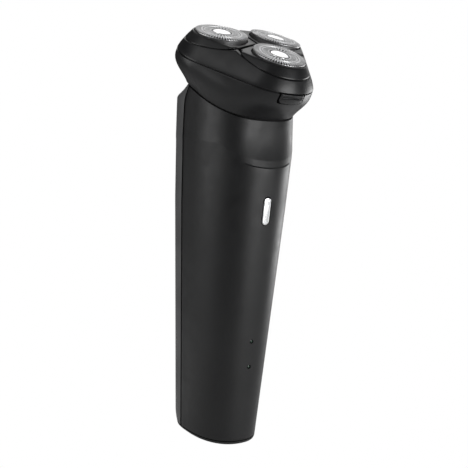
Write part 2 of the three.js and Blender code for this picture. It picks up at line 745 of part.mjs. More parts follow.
function transmissionCover() {
  const body = gearPlateSolid(gap + 0.1, gearCover);
  const stems = sectors.map(({ angle }) => wheelBar(angle, 2.9, gearCover.bottom, -11.1));
  const posts = betweenSectors.map((angle) => {
    return gearPost(angle, post.radius, gearPlate.top + gap, gearCover.bottom + 0.2);
  });
  const bores = sectors.map(({ angle }) => wheelBar(angle, 1.3));
  const screwHoles = betweenSectors.map((angle) => gearPost(angle, post.boreRadius, -30, 0));
  const latchRoom = block([-buttonNotch.halfWidth, buttonNotch.halfWidth], [-45, -24.5], [-20, 0]);
  const springSeat = block([-1.6, 1.6], [-24.4, -23.2], [gearCover.bottom, -12.2]);
  return join(cut(join(body, ...stems, ...posts), ...bores, ...screwHoles, latchRoom), springSeat);
}

function wheelBar(angle, radius, bottom = -30, top = 0) {
  const place = { x: wheelDistance * Math.cos(angle), y: wheelDistance * Math.sin(angle), sides: 12 };
  return bar(radius, bottom, top, place);
}

function gearboxScrew() {
  const top = gearCover.top + gap;
  const screw = turned([
    [0, bowlFloor + 0.2], [0.9, bowlFloor + 0.2], [0.9, top], [2, top], [2, top + 0.6], [1.4, top + 1.1],
    [0, top + 1.1],
  ], 12);
  const [arm, half] = [[-1.1, 1.1], [-0.22, 0.22]];
  const depth = [top + 0.5, 0];
  return cut(screw, join(block(arm, half, depth), block(half, arm, depth)));
}

const motor = { radius: 11, top: -28, bottom: -56 };

function motorCan() {
  const { radius, top, bottom } = motor;
  const shell = turned([
    [0, bottom + 2], [radius, bottom + 2], [radius, top - 0.8], [radius - 0.8, top],
    [3.6, top], [3.6, top + 1.6], [0, top + 1.6],
  ], 28);
  return cut(shell, bar(1.1, bottom + 12, 0, { sides: 12 }));
}

function motorEndCap() {
  const { bottom } = motor;
  const lugs = [-6, 6].map((x) => block([x - 1, x + 1], [-0.4, 0.4], [bottom - 2, bottom]));
  const disc = turned([[0, bottom - 0.2], [10.6, bottom - 0.2], [10.6, bottom + 1.7], [0, bottom + 1.7]], 28);
  return join(disc, ...lugs);
}

function motorShaft() {
  return bar(0.75, motor.bottom + 13, gears.top + 0.3, { sides: 12 });
}

function motorLead(side) {
  const start = new THREE.Vector3(side * 6, 1.6, motor.bottom - 1.9).applyMatrix4(headFrame.matrix);
  const points = [start, new THREE.Vector3(side * 7.6, 3, 104), new THREE.Vector3(side * 10.4, -2, 97)];
  const bend = new THREE.Vector3(side * 11.8, 11, 92).applyMatrix4(panel.matrix);
  const end = new THREE.Vector3(side * 9.6, 8.9, 88).applyMatrix4(panel.matrix);
  return tube([...points, bend, end], 0.5, 14, 5);
}

function neckSeal() {
  const sides = 36;
  const section = [[1.5, 0.12], [0.6, 0.12], [0.6, 0.32], [1.5, 0.32]];
  const rings = section.map(([inset, lift]) => neckRing(inset, lift, sides));
  return hoop(angles(sides).map((_, i) => rings.map((ring) => ring[i])));
}

function hingePin() {
  return barAlongX(hinge.pinRadius, -hinge.bowlTo + 0.2, hinge.bowlTo - 0.2, hinge.y, hinge.height, 12);
}

function releaseSpring() {
  const spring = coil({ radius: 0.75, wire: 0.16, from: 24.65, to: 26.4, turns: 3 });
  return spring.rotateX(Math.PI / 2).translate(0, 0, -13.8);
}

// ---------- assembly ----------
function buildHandle() {
  const shell = handleShell();
  const group = new THREE.Group();
  group.add(
    node('front_shell', frontShell(shell), finishes.blackPlastic),
    node('rear_cover', common(shell, behindSplit(gap / 2)), finishes.rearPlastic),
    node('base_cap', baseCap(), finishes.blackPlastic),
    node('charging_socket', chargingSocket(), finishes.steel),
    node('battery_cell', batteryCell(), finishes.cellWrap),
    node('battery_tab_lower', batteryTab(cell.bottom - 0.9, cell.bottom - gap), finishes.steel),
    node('battery_tab_upper', batteryTab(cell.top + 0.1, cell.top + 0.7), finishes.steel),
    node('inner_chassis', innerChassis(), finishes.innerPlastic),
    node('neck_seal', neckSeal(), finishes.rubber),
    node('motor_lead_red', motorLead(1), finishes.redLead),
    node('motor_lead_black', motorLead(-1), finishes.blackLead),
  );
  return group;
}

function buildFrontPanel() {
  panel.add(
    node('power_button', powerButton(), finishes.silverTrim),
    node('button_gasket', buttonGasket(), finishes.rubber),
    node('circuit_board', circuitBoard(), finishes.board),
    node('tact_switch', tactSwitch(), finishes.steel),
  );
  for (const [name, z] of Object.entries(lampHeights)) {
    panel.add(node(`status_lens_${name}`, statusLens(z), finishes.lens));
    panel.add(node(`status_led_${name}`, statusLamp(z), finishes.whiteNylon));
  }
  boardScrewPlaces.forEach(([x, z], i) => {
    panel.add(node(`board_screw_${i + 1}`, boardScrew(x, z), finishes.steel));
  });
  return panel;
}

function buildHeadBase() {
  const group = new THREE.Group();
  group.add(
    node('hair_chamber', hairChamber(), finishes.satinPlastic),
    node('release_button', releaseButton(), finishes.satinPlastic),
    node('release_spring', releaseSpring(), finishes.steel),
    node('head_frame', lidFrame(), finishes.blackPlastic),
    node('hinge_pin', hingePin(), finishes.steel),
    node('gearbox_plate', transmissionPlate(), finishes.innerPlastic),
    node('gearbox_cover', transmissionCover(), finishes.innerPlastic),
    node('motor_can', motorCan(), finishes.steel),
    node('motor_end_cap', motorEndCap(), finishes.whiteNylon),
    node('motor_shaft', motorShaft(), finishes.steel),
    node('drive_pinion', drivePinion(), finishes.brass),
  );
  betweenSectors.forEach((angle, i) => {
    const screw = node(`gearbox_screw_${i + 1}`, gearboxScrew(), finishes.steel);
    screw.position.set(post.distance * Math.cos(angle), post.distance * Math.sin(angle), 0);
    group.add(screw);
  });
  return group;
}

function buildDrive({ name, angle }) {
  const group = new THREE.Group();
  group.position.set(wheelDistance * Math.cos(angle), wheelDistance * Math.sin(angle), 0);
  group.add(
    node(`drive_gear_${name}`, driveGear(angle), finishes.whiteNylon),
    node(`spindle_${name}`, spindle(), finishes.steel),
    node(`spindle_spring_${name}`, spindleSpring(), finishes.steel),
  );
  return group;
}

function buildPod({ name, angle }) {
  const group = new THREE.Group();
  group.rotation.z = angle;
  group.add(node(`pod_${name}`, podShell(), finishes.satinPlastic));
  const axis = new THREE.Group();
  axis.position.x = capPlace.distance;
  axis.rotation.y = capPlace.lean;
  axis.add(
    node(`shaving_cap_${name}`, shavingCap(), finishes.steel),
    node(`cap_hub_${name}`, capHub(), finishes.polishedSteel),
    node(`cutter_${name}`, cutter(), finishes.steel),
    node(`retainer_ring_${name}`, retainerRing(), finishes.whiteNylon),
  );
  group.add(axis);
  return group;
}

const shaver = new THREE.Group();
headFrame.add(buildHeadBase(), ...sectors.map(buildDrive), ...sectors.map(buildPod));
shaver.add(buildHandle(), buildFrontPanel(), headFrame);

export default shaver;
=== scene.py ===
"""A rotary shaver's finished look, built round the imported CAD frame.

Shapes are worked out in millimetres and become metres as each mesh is made. Most driving
dimensions are the CAD's, and a few follow the photo more closely inside the CAD's box.
Head pieces are built in the head's own frame.
"""

import json
import math

import bmesh
import bpy
import numpy as np
from mathutils import Matrix, Vector


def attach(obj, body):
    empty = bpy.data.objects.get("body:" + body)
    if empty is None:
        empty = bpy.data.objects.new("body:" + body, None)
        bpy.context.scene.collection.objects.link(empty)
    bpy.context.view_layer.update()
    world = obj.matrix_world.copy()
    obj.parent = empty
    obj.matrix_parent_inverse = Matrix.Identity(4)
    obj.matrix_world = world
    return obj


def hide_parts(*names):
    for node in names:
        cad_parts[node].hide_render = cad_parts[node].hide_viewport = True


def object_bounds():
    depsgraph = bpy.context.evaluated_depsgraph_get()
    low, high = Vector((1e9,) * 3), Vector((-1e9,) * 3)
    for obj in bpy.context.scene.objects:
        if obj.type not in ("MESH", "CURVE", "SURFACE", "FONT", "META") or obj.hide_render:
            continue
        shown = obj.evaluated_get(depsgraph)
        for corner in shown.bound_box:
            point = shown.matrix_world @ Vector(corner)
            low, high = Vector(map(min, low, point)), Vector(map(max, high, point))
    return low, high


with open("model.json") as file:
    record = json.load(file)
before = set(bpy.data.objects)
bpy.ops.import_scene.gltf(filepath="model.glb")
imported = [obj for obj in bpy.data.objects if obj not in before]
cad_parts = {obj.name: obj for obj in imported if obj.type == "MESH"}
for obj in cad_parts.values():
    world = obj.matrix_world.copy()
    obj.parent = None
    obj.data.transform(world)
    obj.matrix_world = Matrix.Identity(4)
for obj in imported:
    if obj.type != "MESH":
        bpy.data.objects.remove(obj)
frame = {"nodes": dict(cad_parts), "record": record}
cad_low, cad_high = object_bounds()

MM = 0.001
DEGREE = math.pi / 180

# ---------- driving dimensions, in millimetres ----------
GAP = 0.3
WALL = 1.8

TAPER_TOP = 120
HALF_WIDTH = (14.5, 20.5)
FRONT_DEPTH = (20, 27)
REAR_DEPTH = (16.4, 24.1)
FRONT_EXPONENT = 2.3
REAR_EXPONENT = 3.6
WIDTH_DRAW_IN = 0.008  # per millimetre above the taper's top
FRONT_DRAW_IN = 0.0915
SHELL_BOTTOM = 1.5
TOE_HEIGHT = 7
TOE_DEPTH = 2.2
TOE_SIDE_SHARE = 0.6

CREASE = 117
CREASE_RISE = 7
SCOOP_HALF_ANGLE = 60 * DEGREE
SCOOP_STEP = 0.55
SCOOP_DEPTH = 2.2
SCOOP_LENGTH = 12

SHOULDER = 141.5
SHOULDER_BLEND = 2
SHOULDER_SLOPE = 1.5

NECK_Y = -1.3
NECK_Z = 144
NECK_TILT = 20.8 * DEGREE
SPLIT_BASE = 5
SPLIT_SLOPE = 0.03
SPLIT_BEND = 0.03
SPLIT_BEND_FROM = 138
SPLIT_GAP = 0.8

HEAD_PLACE = (0, -12.1, 166.8)
HEAD_TILT = 18.9 * DEGREE
RIM_HEIGHT = -10.3
RIM_CENTRE = 14
RIM_RADIUS = 17.3
CROWN_HEIGHT = -1.7
CROWN_CENTRE = 15.6
CROWN_RADIUS = 11.2
CROWN_ROUNDNESS = 1.3
SEAM_DROP = 3.9
SEAM_GAP = 0.15
BOWL_TOP = -10.8
STEP_INSET = 0.7
STEP_RISE = 0.43
BOWL_FLOOR = -21.5
BOWL_BULGE = (1.6, 2.6)
BOWL_EDGE = 0.3  # radius of its moulded edges
LID_EDGE = 0.25
DRIVE_HOLE = 4
POST_TURNS = (90, 210, 330)
POST_DISTANCE = 17
POST_RADIUS = 2.4
POST_BORE = 1.25

CAP_DISTANCE = 15.4
CAP_LEAN = 4 * DEGREE
BORE_RADIUS = 11.0
POD_PIN = (14, -5, 0.8)
POD_GAP = 1.25
POD_TOP = -1.25
POD_UNDERSIDE = -6.8
POD_DEEP_BOTTOM = -5.5
HINGE_Y = 25.6
HINGE_HEIGHT = -10.55
BARREL_RADIUS = 1.5
HINGE_PIN_RADIUS = 0.6
LID_HALF = 4
BOWL_KNUCKLE = (4.3, 7.8)
WINDOW_RADIUS = 9.5
WINDOW_DISTANCE = 15

BUTTON_Z = 100.1
BUTTON_WIDTH = 3.2
BUTTON_LENGTH = 11.25
MARK_DEPTHS = (-0.39, -0.34)
LAMP_HEIGHTS = {"upper": 45.25, "lower": 34.25}
SOCKET_Y = 9
NOTCH_HALF = 6.1
CATCH_HALF = 5.35
NOTCH_BOTTOM = -15.3
NOTCH_DEPTH = 2.2
LEDGE_DEPTH = 0.7
LEDGE_HEIGHT = 2.3
LEDGE_STEPS = ((0.05, 0.3), (0.11, 0.7), (0.2, 0.93), (0.32, 1.0))  # rise, share of the depth
LEDGE_PROUD = 0.35

SECTORS = {"front": -90 * DEGREE, "right": 30 * DEGREE, "left": 150 * DEGREE}
FRONT_CORNER = SECTORS["front"]


# ---------- surfaces ----------
def blend_in(value, start, end):
    """0 before start, 1 after end, and a smooth turn between them."""
    t = np.clip((np.asarray(value, float) - start) / (end - start), 0, 1)
    return t * t * (3 - 2 * t)


def signed_power(value, power):
    return np.sign(value) * np.abs(value) ** power


def points_of(x, y, z):
    return np.stack(np.broadcast_arrays(x, y, z), axis=-1).astype(float)


def shoulder_drop(z):
    """How far the back slopes in above the shoulder."""
    past = np.maximum(0, z - SHOULDER)
    blended = np.minimum(past, SHOULDER_BLEND)
    rounded = SHOULDER_SLOPE * blended**2 / (2 * SHOULDER_BLEND)
    return rounded + SHOULDER_SLOPE * np.maximum(0, past - SHOULDER_BLEND)


def toe_inset(z):
    """How far the back tucks in towards the base."""
    return TOE_DEPTH * np.maximum(0, 1 - np.asarray(z, float) / TOE_HEIGHT) ** 2


def rear_depth(z):
    straight = REAR_DEPTH[0] + (REAR_DEPTH[1] - REAR_DEPTH[0]) * z / TAPER_TOP
    return straight - shoulder_drop(z) - toe_inset(z)


def handle_point(angle, z, inset=0.0, rise=0.0, corner_cut=1.0):
    """A point of the handle's outside, or of a skin that lies inset from it."""
    low = np.minimum(z, TAPER_TOP) / TAPER_TOP
    high = np.maximum(0, z - TAPER_TOP)
    drop = corner_cut * shoulder_drop(z) + TOE_SIDE_SHARE * toe_inset(z)
    half_width = HALF_WIDTH[0] + (HALF_WIDTH[1] - HALF_WIDTH[0]) * low - WIDTH_DRAW_IN * high
    front = FRONT_DEPTH[0] + (FRONT_DEPTH[1] - FRONT_DEPTH[0]) * low - FRONT_DRAW_IN * high
    in_front = np.sin(angle) < 0
    power = 2 / np.where(in_front, FRONT_EXPONENT, REAR_EXPONENT)
    share = np.minimum(1, np.abs(np.arctan2(np.cos(angle), -np.sin(angle))) / SCOOP_HALF_ANGLE)
    side = half_width - inset - drop * np.maximum(0, np.sin(angle)) ** 2
    depth = np.where(in_front, front, rear_depth(z)) - inset
    hollow = scoop_depth(z) * np.cos(share * math.pi / 2) ** 2
    x = side * signed_power(np.cos(angle), power)
    y = depth * signed_power(np.sin(angle), power) + hollow
    return points_of(x, y, z + CREASE_RISE * rise * share**2)


def scoop_depth(z):
    """The finger rest: nothing below the crease, a small step at it, a shallow hollow above."""
    past = np.clip((z - CREASE) / SCOOP_LENGTH, 0, 1.35)
    step = SCOOP_STEP * blend_in(z, CREASE - 0.1, CREASE + 0.35)
    return step + SCOOP_DEPTH * np.sin(past * math.pi / 2)


def crease_rise(z):
    """How far the rows follow the crease's curve at this height."""
    return np.interp(z, [100, CREASE, 137], [0, 1, 0])


def neck_point(angle, inset=0.0, corner_cut=1.0):
    """Where the handle's side line at this angle meets the tilted neck plane."""
    z = np.full(np.shape(angle), float(NECK_Z))
    for _ in range(60):
        y = handle_point(angle, z, inset, 0, corner_cut)[..., 1]
        z = (z + NECK_Z + math.tan(NECK_TILT) * (y - NECK_Y)) / 2
    return handle_point(angle, z, inset, 0, corner_cut)


def split_line(z):
    """How far back the joint between the shells lies, at this height."""
    return SPLIT_BASE + SPLIT_SLOPE * z - SPLIT_BEND * np.maximum(0, z - SPLIT_BEND_FROM) ** 2


def rounded_triangle(angle, centre, radius):
    """Radius of a rounded triangle whose corners point along 0, 120 and 240 degrees."""
    third = 2 * math.pi / 3
    off = np.abs(angle - third * np.round(angle / third))
    arc_end = np.arctan2(radius * math.sin(math.pi / 3), centre + radius / 2)
    on_edge = (centre / 2 + radius) / np.cos(math.pi / 3 - off)
    on_arc = centre * np.cos(off) + np.sqrt(np.maximum(0, radius**2 - (centre * np.sin(off)) ** 2))
    return np.where(off > arc_end, on_edge, on_arc)


def head_reach(angle, height, corner):
    """Radius of the head's side at this angle and height, for a head whose corner points along corner."""
    share = (height - RIM_HEIGHT) / (CROWN_HEIGHT - RIM_HEIGHT)
    opened = 1 - np.maximum(0, share) ** CROWN_ROUNDNESS
    centre = CROWN_CENTRE + (RIM_CENTRE - CROWN_CENTRE) * opened
    radius = CROWN_RADIUS + (RIM_RADIUS - CROWN_RADIUS) * opened
    return rounded_triangle(angle - corner, centre, radius)


def seam_height(angle, corner):
    return CROWN_HEIGHT - SEAM_DROP * np.abs(np.cos(1.5 * (angle - corner)))


HEAD = Matrix.Translation(HEAD_PLACE) @ Matrix.Rotation(HEAD_TILT, 4, "X")
HEAD_INVERSE = np.array(HEAD.inverted())
PANEL_SLOPE = math.atan((FRONT_DEPTH[1] - FRONT_DEPTH[0]) / TAPER_TOP)
PANEL = Matrix.Translation((0, -FRONT_DEPTH[0], 0)) @ Matrix.Rotation(PANEL_SLOPE, 4, "X")


def to_head(points):
    return points @ HEAD_INVERSE[:3, :3].T + HEAD_INVERSE[:3, 3]


def neck_table():
    """Neck points in the head's frame, listed by their direction from the neck's middle."""
    angle = np.linspace(-math.pi, math.pi, 20001)
    points = to_head(neck_point(angle, 0.0, 0.0))
    middle = (points[:, 1].min() + points[:, 1].max()) / 2
    direction = np.unwrap(np.arctan2(points[:, 1] - middle, points[:, 0]))
    return direction, points


NECK_DIRECTION, NECK_POINTS = neck_table()


def bowl_point(angle, share, inset=0.0):
    """The bowl's side, from the neck (share 0) to the rim (share 1), in the head's frame."""
    turn = np.mod(np.asarray(angle, float) - NECK_DIRECTION[0], 2 * math.pi) + NECK_DIRECTION[0]
    low = [np.interp(turn, NECK_DIRECTION, NECK_POINTS[:, axis]) for axis in range(3)]
    across, along = np.cos(angle), np.sin(angle)
    reach = rounded_triangle(angle - FRONT_CORNER, RIM_CENTRE, RIM_RADIUS) - inset
    bulge = BOWL_BULGE[0] + (BOWL_BULGE[1] - BOWL_BULGE[0]) * np.sqrt(np.maximum(0, along))
    swell = bulge * np.sin(math.pi * np.clip(share, 0, 1) ** 1.4)
    x = (low[0] - inset * across) * (1 - share) + reach * across * share + swell * across
    y = (low[1] - inset * along) * (1 - share) + reach * along * share + swell * along
    z = (low[2] + GAP + 0.2) * (1 - share) + BOWL_TOP * share
    return points_of(x, y, z)


def bowl_share_at(angle, height):
    """The share at which the bowl's side passes this height."""
    bottom = bowl_point(angle, np.zeros_like(angle))[..., 2]
    return (height - bottom) / (BOWL_TOP - bottom)


# ---------- meshes ----------
def grid_faces(rows, columns, wrap_rows, wrap_columns):
    faces = []
    for i in range(rows if wrap_rows else rows - 1):
        for j in range(columns if wrap_columns else columns - 1):
            below, above = i * columns, ((i + 1) % rows) * columns
            right = (j + 1) % columns
            faces.append((below + j, below + right, above + right, above + j))
    return faces


def new_object(name, points, faces, place=None):
    """A smooth closed mesh. Points are millimetres in the frame that place gives."""
    mesh = bpy.data.meshes.new(name)
    mesh.from_pydata((np.asarray(points).reshape(-1, 3) * MM).tolist(), [], faces)
    obj = bpy.data.objects.new(name, mesh)
    bpy.context.scene.collection.objects.link(obj)
    tidy_mesh(obj)
    keep_local_places(mesh)
    matrix = (place or Matrix.Identity(4)).copy()
    matrix.translation = matrix.translation * MM
    mesh.transform(matrix)
    return obj


def keep_local_places(mesh):
    """Stores each point's place in the piece's own frame, for marks that follow its own axis."""
    local = mesh.attributes.new("local_place", "FLOAT_VECTOR", "POINT")
    values = np.zeros(len(mesh.vertices) * 3, np.float32)
    mesh.vertices.foreach_get("co", values)
    local.data.foreach_set("vector", values)


def tidy_mesh(obj):
    """Joins doubled points and turns every face outwards."""
    made = bmesh.new()
    made.from_mesh(obj.data)
    bmesh.ops.remove_doubles(made, verts=made.verts, dist=2e-7)
    bmesh.ops.dissolve_degenerate(made, edges=made.edges, dist=1e-7)
    bmesh.ops.recalc_face_normals(made, faces=made.faces)
    made.to_mesh(obj.data)
    made.free()


def smooth(obj, sharp_degrees=32):
    obj.data.shade_smooth()
    obj.data.set_sharp_from_angle(angle=math.radians(sharp_degrees))
    return obj


def hoop(name, rings, place=None):
    """Rings that follow one another round a closed section."""
    rings = np.asarray(rings)
    return new_object(name, rings, grid_faces(*rings.shape[:2], True, True), place)


def loft(name, rings, place=None):
    """Rings stacked from one closed end to the other."""
    rings = np.asarray(rings)
    rows, columns = rings.shape[:2]
    faces = grid_faces(rows, columns, False, True)
    last = (rows - 1) * columns
    faces.append(tuple(reversed(range(columns))))
    faces.append(tuple(range(last, last + columns)))
    return new_object(name, rings, faces, place)


def curved_plate(name, outer, inner, place=None):
    """A plate between two grids of points, closed along its four edges."""
    sections = np.concatenate([outer, inner[:, ::-1]], axis=1)
    rows, columns = sections.shape[:2]
    faces = grid_faces(rows, columns, False, True)
    for start in (0, (rows - 1) * columns):
        for j in range(columns // 2 - 1):
            far = columns - 1 - j
            faces.append((start + j, start + j + 1, start + far - 1, start + far))
    return new_object(name, sections, faces, place)


def around(count):
    return np.arange(count) * 2 * math.pi / count


def ring_at(reach, angle, height, middle=0.0):
    """Points this far out from an axis that crosses the X axis at middle."""
    return points_of(middle + reach * np.cos(angle), reach * np.sin(angle), height)


def circle(radius, height, count):
    return ring_at(radius, around(count), height)


def lathe(name, profile, count=96, place=None):
    """A body turned about its own Z. The profile starts and ends near the axis."""
    return loft(name, [circle(radius, height, count) for radius, height in profile], place)


def rod(radius, start, end, count=32, place=None):
    """A plain round bar between two points, for joining or cutting."""
    axis = Vector(end) - Vector(start)
    turn = axis.to_track_quat("Z", "Y").to_matrix().to_4x4()
    local = Matrix.Translation(start) @ turn
    whole = (place or Matrix.Identity(4)) @ local
    return loft("rod", [circle(radius, 0, count), circle(radius, axis.length, count)], whole)


def block(low, high, place=None):
    x, y = (low[0], high[0], high[0], low[0]), (low[1], low[1], high[1], high[1])
    return loft("block", [points_of(np.array(x), np.array(y), z) for z in (low[2], high[2])], place)


def combine(obj, operation, tools):
    """Joins tools to obj ("UNION") or cuts them out of it ("DIFFERENCE")."""
    for tool in tools:
        modifier = obj.modifiers.new("combine", "BOOLEAN")
        modifier.operation = operation
        modifier.solver = "EXACT"
        modifier.object = tool
    bpy.context.view_layer.update()
    evaluated = obj.evaluated_get(bpy.context.evaluated_depsgraph_get())
    mesh = bpy.data.meshes.new_from_object(evaluated)
    obj.modifiers.clear()
    obj.data = mesh
    for tool in tools:
        bpy.data.objects.remove(tool)
    tidy_mesh(obj)
    return obj


def edge_steps(length, step, fillet, round_start=True, round_end=True):
    """Distances along an edge-to-edge line, closer together where the ends are rounded."""
    close = np.array([0, 0.12, 0.4, 1.0]) * fillet
    middle = np.linspace(0, length, max(3, round(length / step) + 1))
    keep = (middle > 1.6 * fillet) & (middle < length - 1.6 * fillet)
    start = close if round_start else [0]
    end = length - close[::-1] if round_end else [length]
    return np.concatenate([start, middle[keep], end])


def rounding(distance, length, fillet, round_start=True, round_end=True):
    """How far a rounded edge draws the skin in, this far from either end."""
    near = np.full(np.shape(distance), fillet, float)
    if round_start:
        near = np.minimum(near, distance)
    if round_end:
        near = np.minimum(near, length - distance)
    short = fillet - np.clip(near, 0, fillet)
    return fillet - np.sqrt(np.maximum(0, fillet**2 - short**2))


# ---------- materials ----------
def new_material(name):
    material = bpy.data.materials.new(name)
    material.use_nodes = True
    nodes = material.node_tree.nodes
    return material, nodes, material.node_tree.links, nodes["Principled BSDF"]


def add(nodes, kind, values=None, **settings):
    """A new node with these values on its sockets."""
    node = nodes.new(kind)
    for key, setting in settings.items():
        setattr(node, key, setting)
    give(node, values or {})
    return node


def give(node, values):
    for socket, value in values.items():
        node.inputs[socket].default_value = value


def noise(nodes, links, coordinates, scale, detail=3.0, stretch=None):
    texture = add(nodes, "ShaderNodeTexNoise", {"Scale": scale, "Detail": detail})
    if stretch:
        mapping = add(nodes, "ShaderNodeMapping", {"Scale": stretch})
        links.new(coordinates, mapping.inputs["Vector"])
        coordinates = mapping.outputs["Vector"]
    links.new(coordinates, texture.inputs["Vector"])
    return texture.outputs["Fac"]


def remap(nodes, links, value, low, high, start=0.35, end=0.65):
    limits = {"From Min": start, "From Max": end, "To Min": low, "To Max": high}
    node = add(nodes, "ShaderNodeMapRange", limits)
    links.new(value, node.inputs["Value"])
    return node.outputs["Result"]


def two_tone(nodes, links, value, first, second, start=0.35, end=0.65):
    ramp = nodes.new("ShaderNodeValToRGB")
    for stop, position, color in zip(ramp.color_ramp.elements, (start, end), (first, second)):
        stop.position = position
        stop.color = (*color, 1)
    links.new(value, ramp.inputs["Fac"])
    return ramp.outputs["Color"]


def bump(nodes, links, shader, height, strength, distance):
    node = add(nodes, "ShaderNodeBump", {"Strength": strength, "Distance": distance})
    links.new(height, node.inputs["Height"])
    links.new(node.outputs["Normal"], shader.inputs["Normal"])


def shade(color, factor):
    return tuple(min(1.0, channel * factor) for channel in color)


def plastic(name, color, roughness, grain=0.35, grain_size=0.25, specular=0.35, coat=0.0):
    """Moulded plastic: fine spark-eroded grain, slow sheen changes, and edges rubbed a little smoother."""
    material, nodes, links, shader = new_material(name)
    place = nodes.new("ShaderNodeTexCoord").outputs["Object"]
    slow = noise(nodes, links, place, 45, 4)
    smudge = noise(nodes, links, place, 160, 5)
    fine = noise(nodes, links, place, 1 / (grain_size * MM), 2)
    tone = two_tone(nodes, links, slow, shade(color, 0.85), shade(color, 1.18))
    links.new(tone, shader.inputs["Base Color"])
    base = remap(nodes, links, smudge, roughness - 0.05, roughness + 0.05)
    pointiness = nodes.new("ShaderNodeNewGeometry").outputs["Pointiness"]
    worn = remap(nodes, links, pointiness, 0, 0.12, 0.5, 0.58)
    subtract = add(nodes, "ShaderNodeMath", operation="SUBTRACT")
    links.new(base, subtract.inputs[0])
    links.new(worn, subtract.inputs[1])
    links.new(subtract.outputs["Value"], shader.inputs["Roughness"])
    bump(nodes, links, shader, fine, grain, grain_size * MM * 0.12)
    give(shader, {"Specular IOR Level": specular, "Coat Weight": coat, "Coat Roughness": 0.25})
    return material


RINGS_PER_UNIT = 0.314  # scale at which the wave texture draws one ring per unit


def metal(name, color, roughness, marks="brushed", pitch=0.18, strength=0.25):
    """Steel with its making marks: rings from turning, or long fine brush lines."""
    material, nodes, links, shader = new_material(name)
    place = nodes.new("ShaderNodeTexCoord").outputs["Object"]
    cloud = noise(nodes, links, place, 260, 4)
    tone = two_tone(nodes, links, cloud, shade(color, 0.9), shade(color, 1.06))
    links.new(tone, shader.inputs["Base Color"])
    give(shader, {"Metallic": 1.0})
    if marks == "turned":
        values = {"Scale": RINGS_PER_UNIT / (pitch * MM), "Distortion": 0.6, "Detail": 2}
        rings = add(nodes, "ShaderNodeTexWave", values, wave_type="RINGS", rings_direction="Z")
        own_axis = add(nodes, "ShaderNodeAttribute", attribute_name="local_place")
        links.new(own_axis.outputs["Vector"], rings.inputs["Vector"])
        lines = rings.outputs["Fac"]
    else:
        lines = noise(nodes, links, place, 900, 3, (1, 1, 0.04))
    spread = 0.25 * strength
    links.new(remap(nodes, links, lines, roughness - spread, roughness + spread), shader.inputs["Roughness"])
    bump(nodes, links, shader, lines, strength, pitch * MM * 0.1)
    return material


def rubber(name, color):
    return plastic(name, color, 0.75, grain=0.6, grain_size=0.4, specular=0.2)


def board_material(name):
    """Green solder mask with faint copper tracks under it."""
    material, nodes, links, shader = new_material(name)
    place = nodes.new("ShaderNodeTexCoord").outputs["Object"]
    tracks = add(nodes, "ShaderNodeTexBrick", {
        "Scale": 260,
        "Mortar Size": 0.03,
        "Color1": (0.02, 0.16, 0.06, 1),
        "Color2": (0.016, 0.13, 0.05, 1),
        "Mortar": (0.06, 0.30, 0.12, 1),
    }, offset=0.5)
    turned_up = add(nodes, "ShaderNodeMapping", {"Rotation": (math.pi / 2, 0, 0)})
    links.new(place, turned_up.inputs["Vector"])
    links.new(turned_up.outputs["Vector"], tracks.inputs["Vector"])
    links.new(tracks.outputs["Color"], shader.inputs["Base Color"])
    gloss = noise(nodes, links, place, 300, 3)
    links.new(remap(nodes, links, gloss, 0.28, 0.42), shader.inputs["Roughness"])
    bump(nodes, links, shader, tracks.outputs["Fac"], 0.3, 0.00003)
    return material


def lens_material(name):
    """A small milky light guide with a faint green tint."""
    material, nodes, links, shader = new_material(name)
    place = nodes.new("ShaderNodeTexCoord").outputs["Object"]
    haze = noise(nodes, links, place, 1500, 3)
    tone = two_tone(nodes, links, haze, (0.012, 0.03, 0.02), (0.02, 0.06, 0.035))
    links.new(tone, shader.inputs["Base Color"])
    links.new(remap(nodes, links, haze, 0.15, 0.3), shader.inputs["Roughness"])
    give(shader, {"Transmission Weight": 0.25})
    return material


BLACK = (0.0085, 0.0087, 0.0092)
MATERIALS = {
    "shell_plastic": plastic("matt_shell", BLACK, 0.46, grain=0.35, grain_size=0.25),
    "rear_plastic": plastic("matt_rear", (0.084, 0.0845, 0.086), 0.58, grain=0.55, grain_size=0.45),
    "head_plastic": plastic("satin_head", (0.0105, 0.0107, 0.0113), 0.38, grain=0.15, grain_size=0.2),
    "button_trim": metal("button_silver", (0.86, 0.87, 0.88), 0.28, "brushed", 0.12, 0.1),
    "cap_steel": metal("cap_steel", (0.53, 0.53, 0.535), 0.42, "turned", 0.16, 0.03),
    "hub_steel": metal("hub_polished", (0.96, 0.96, 0.97), 0.16, "turned", 0.3, 0.02),
    "inner_plastic": plastic("inner_frame", (0.12, 0.125, 0.13), 0.55, grain=0.3, grain_size=0.5),
    "nylon": plastic("nylon", (0.72, 0.70, 0.62), 0.45, grain=0.2, grain_size=0.4, specular=0.5),
    "soft_seal": rubber("soft_seal", (0.012, 0.012, 0.012)),
    "lamp_lens": lens_material("lamp_lens"),
    "works_steel": metal("works_steel", (0.58, 0.59, 0.60), 0.32),
    "pinion_brass": metal("pinion_brass", (0.78, 0.58, 0.25), 0.28),
    "board": board_material("circuit_board"),
    "cell_wrap": plastic("cell_wrap", (0.05, 0.22, 0.45), 0.35, 0.15, 0.6, specular=0.5, coat=0.3),
    "lead_red": plastic("lead_red", (0.42, 0.02, 0.02), 0.4, grain=0.2, grain_size=0.3),
    "lead_black": plastic("lead_black", (0.015, 0.015, 0.015), 0.4, grain=0.2, grain_size=0.3),
}
MARK_INK = plastic("mark_ink", (0.16, 0.17, 0.18), 0.5, grain=0.2, grain_size=0.2)
# Steel darkened with painted shade, for the cutters that lie in shadow under the foils.
CUTTER_PAINTED_SHADE = metal("blade_steel", (0.06, 0.06, 0.062), 0.5)
# Near-black painted shade for the faces inside the joint between the shells, where the groove's shadow
# falls.
SEAM_PAINTED_SHADE = plastic("seam_painted_shade", (0.003, 0.003, 0.003), 0.9, grain=0.2, grain_size=0.3, specular=0.1)


def slot_of_nodes():
    """Every CAD node's material slot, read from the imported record."""
    return {row["node"]: row["material_slot"] for row in frame["record"]["subparts"]}


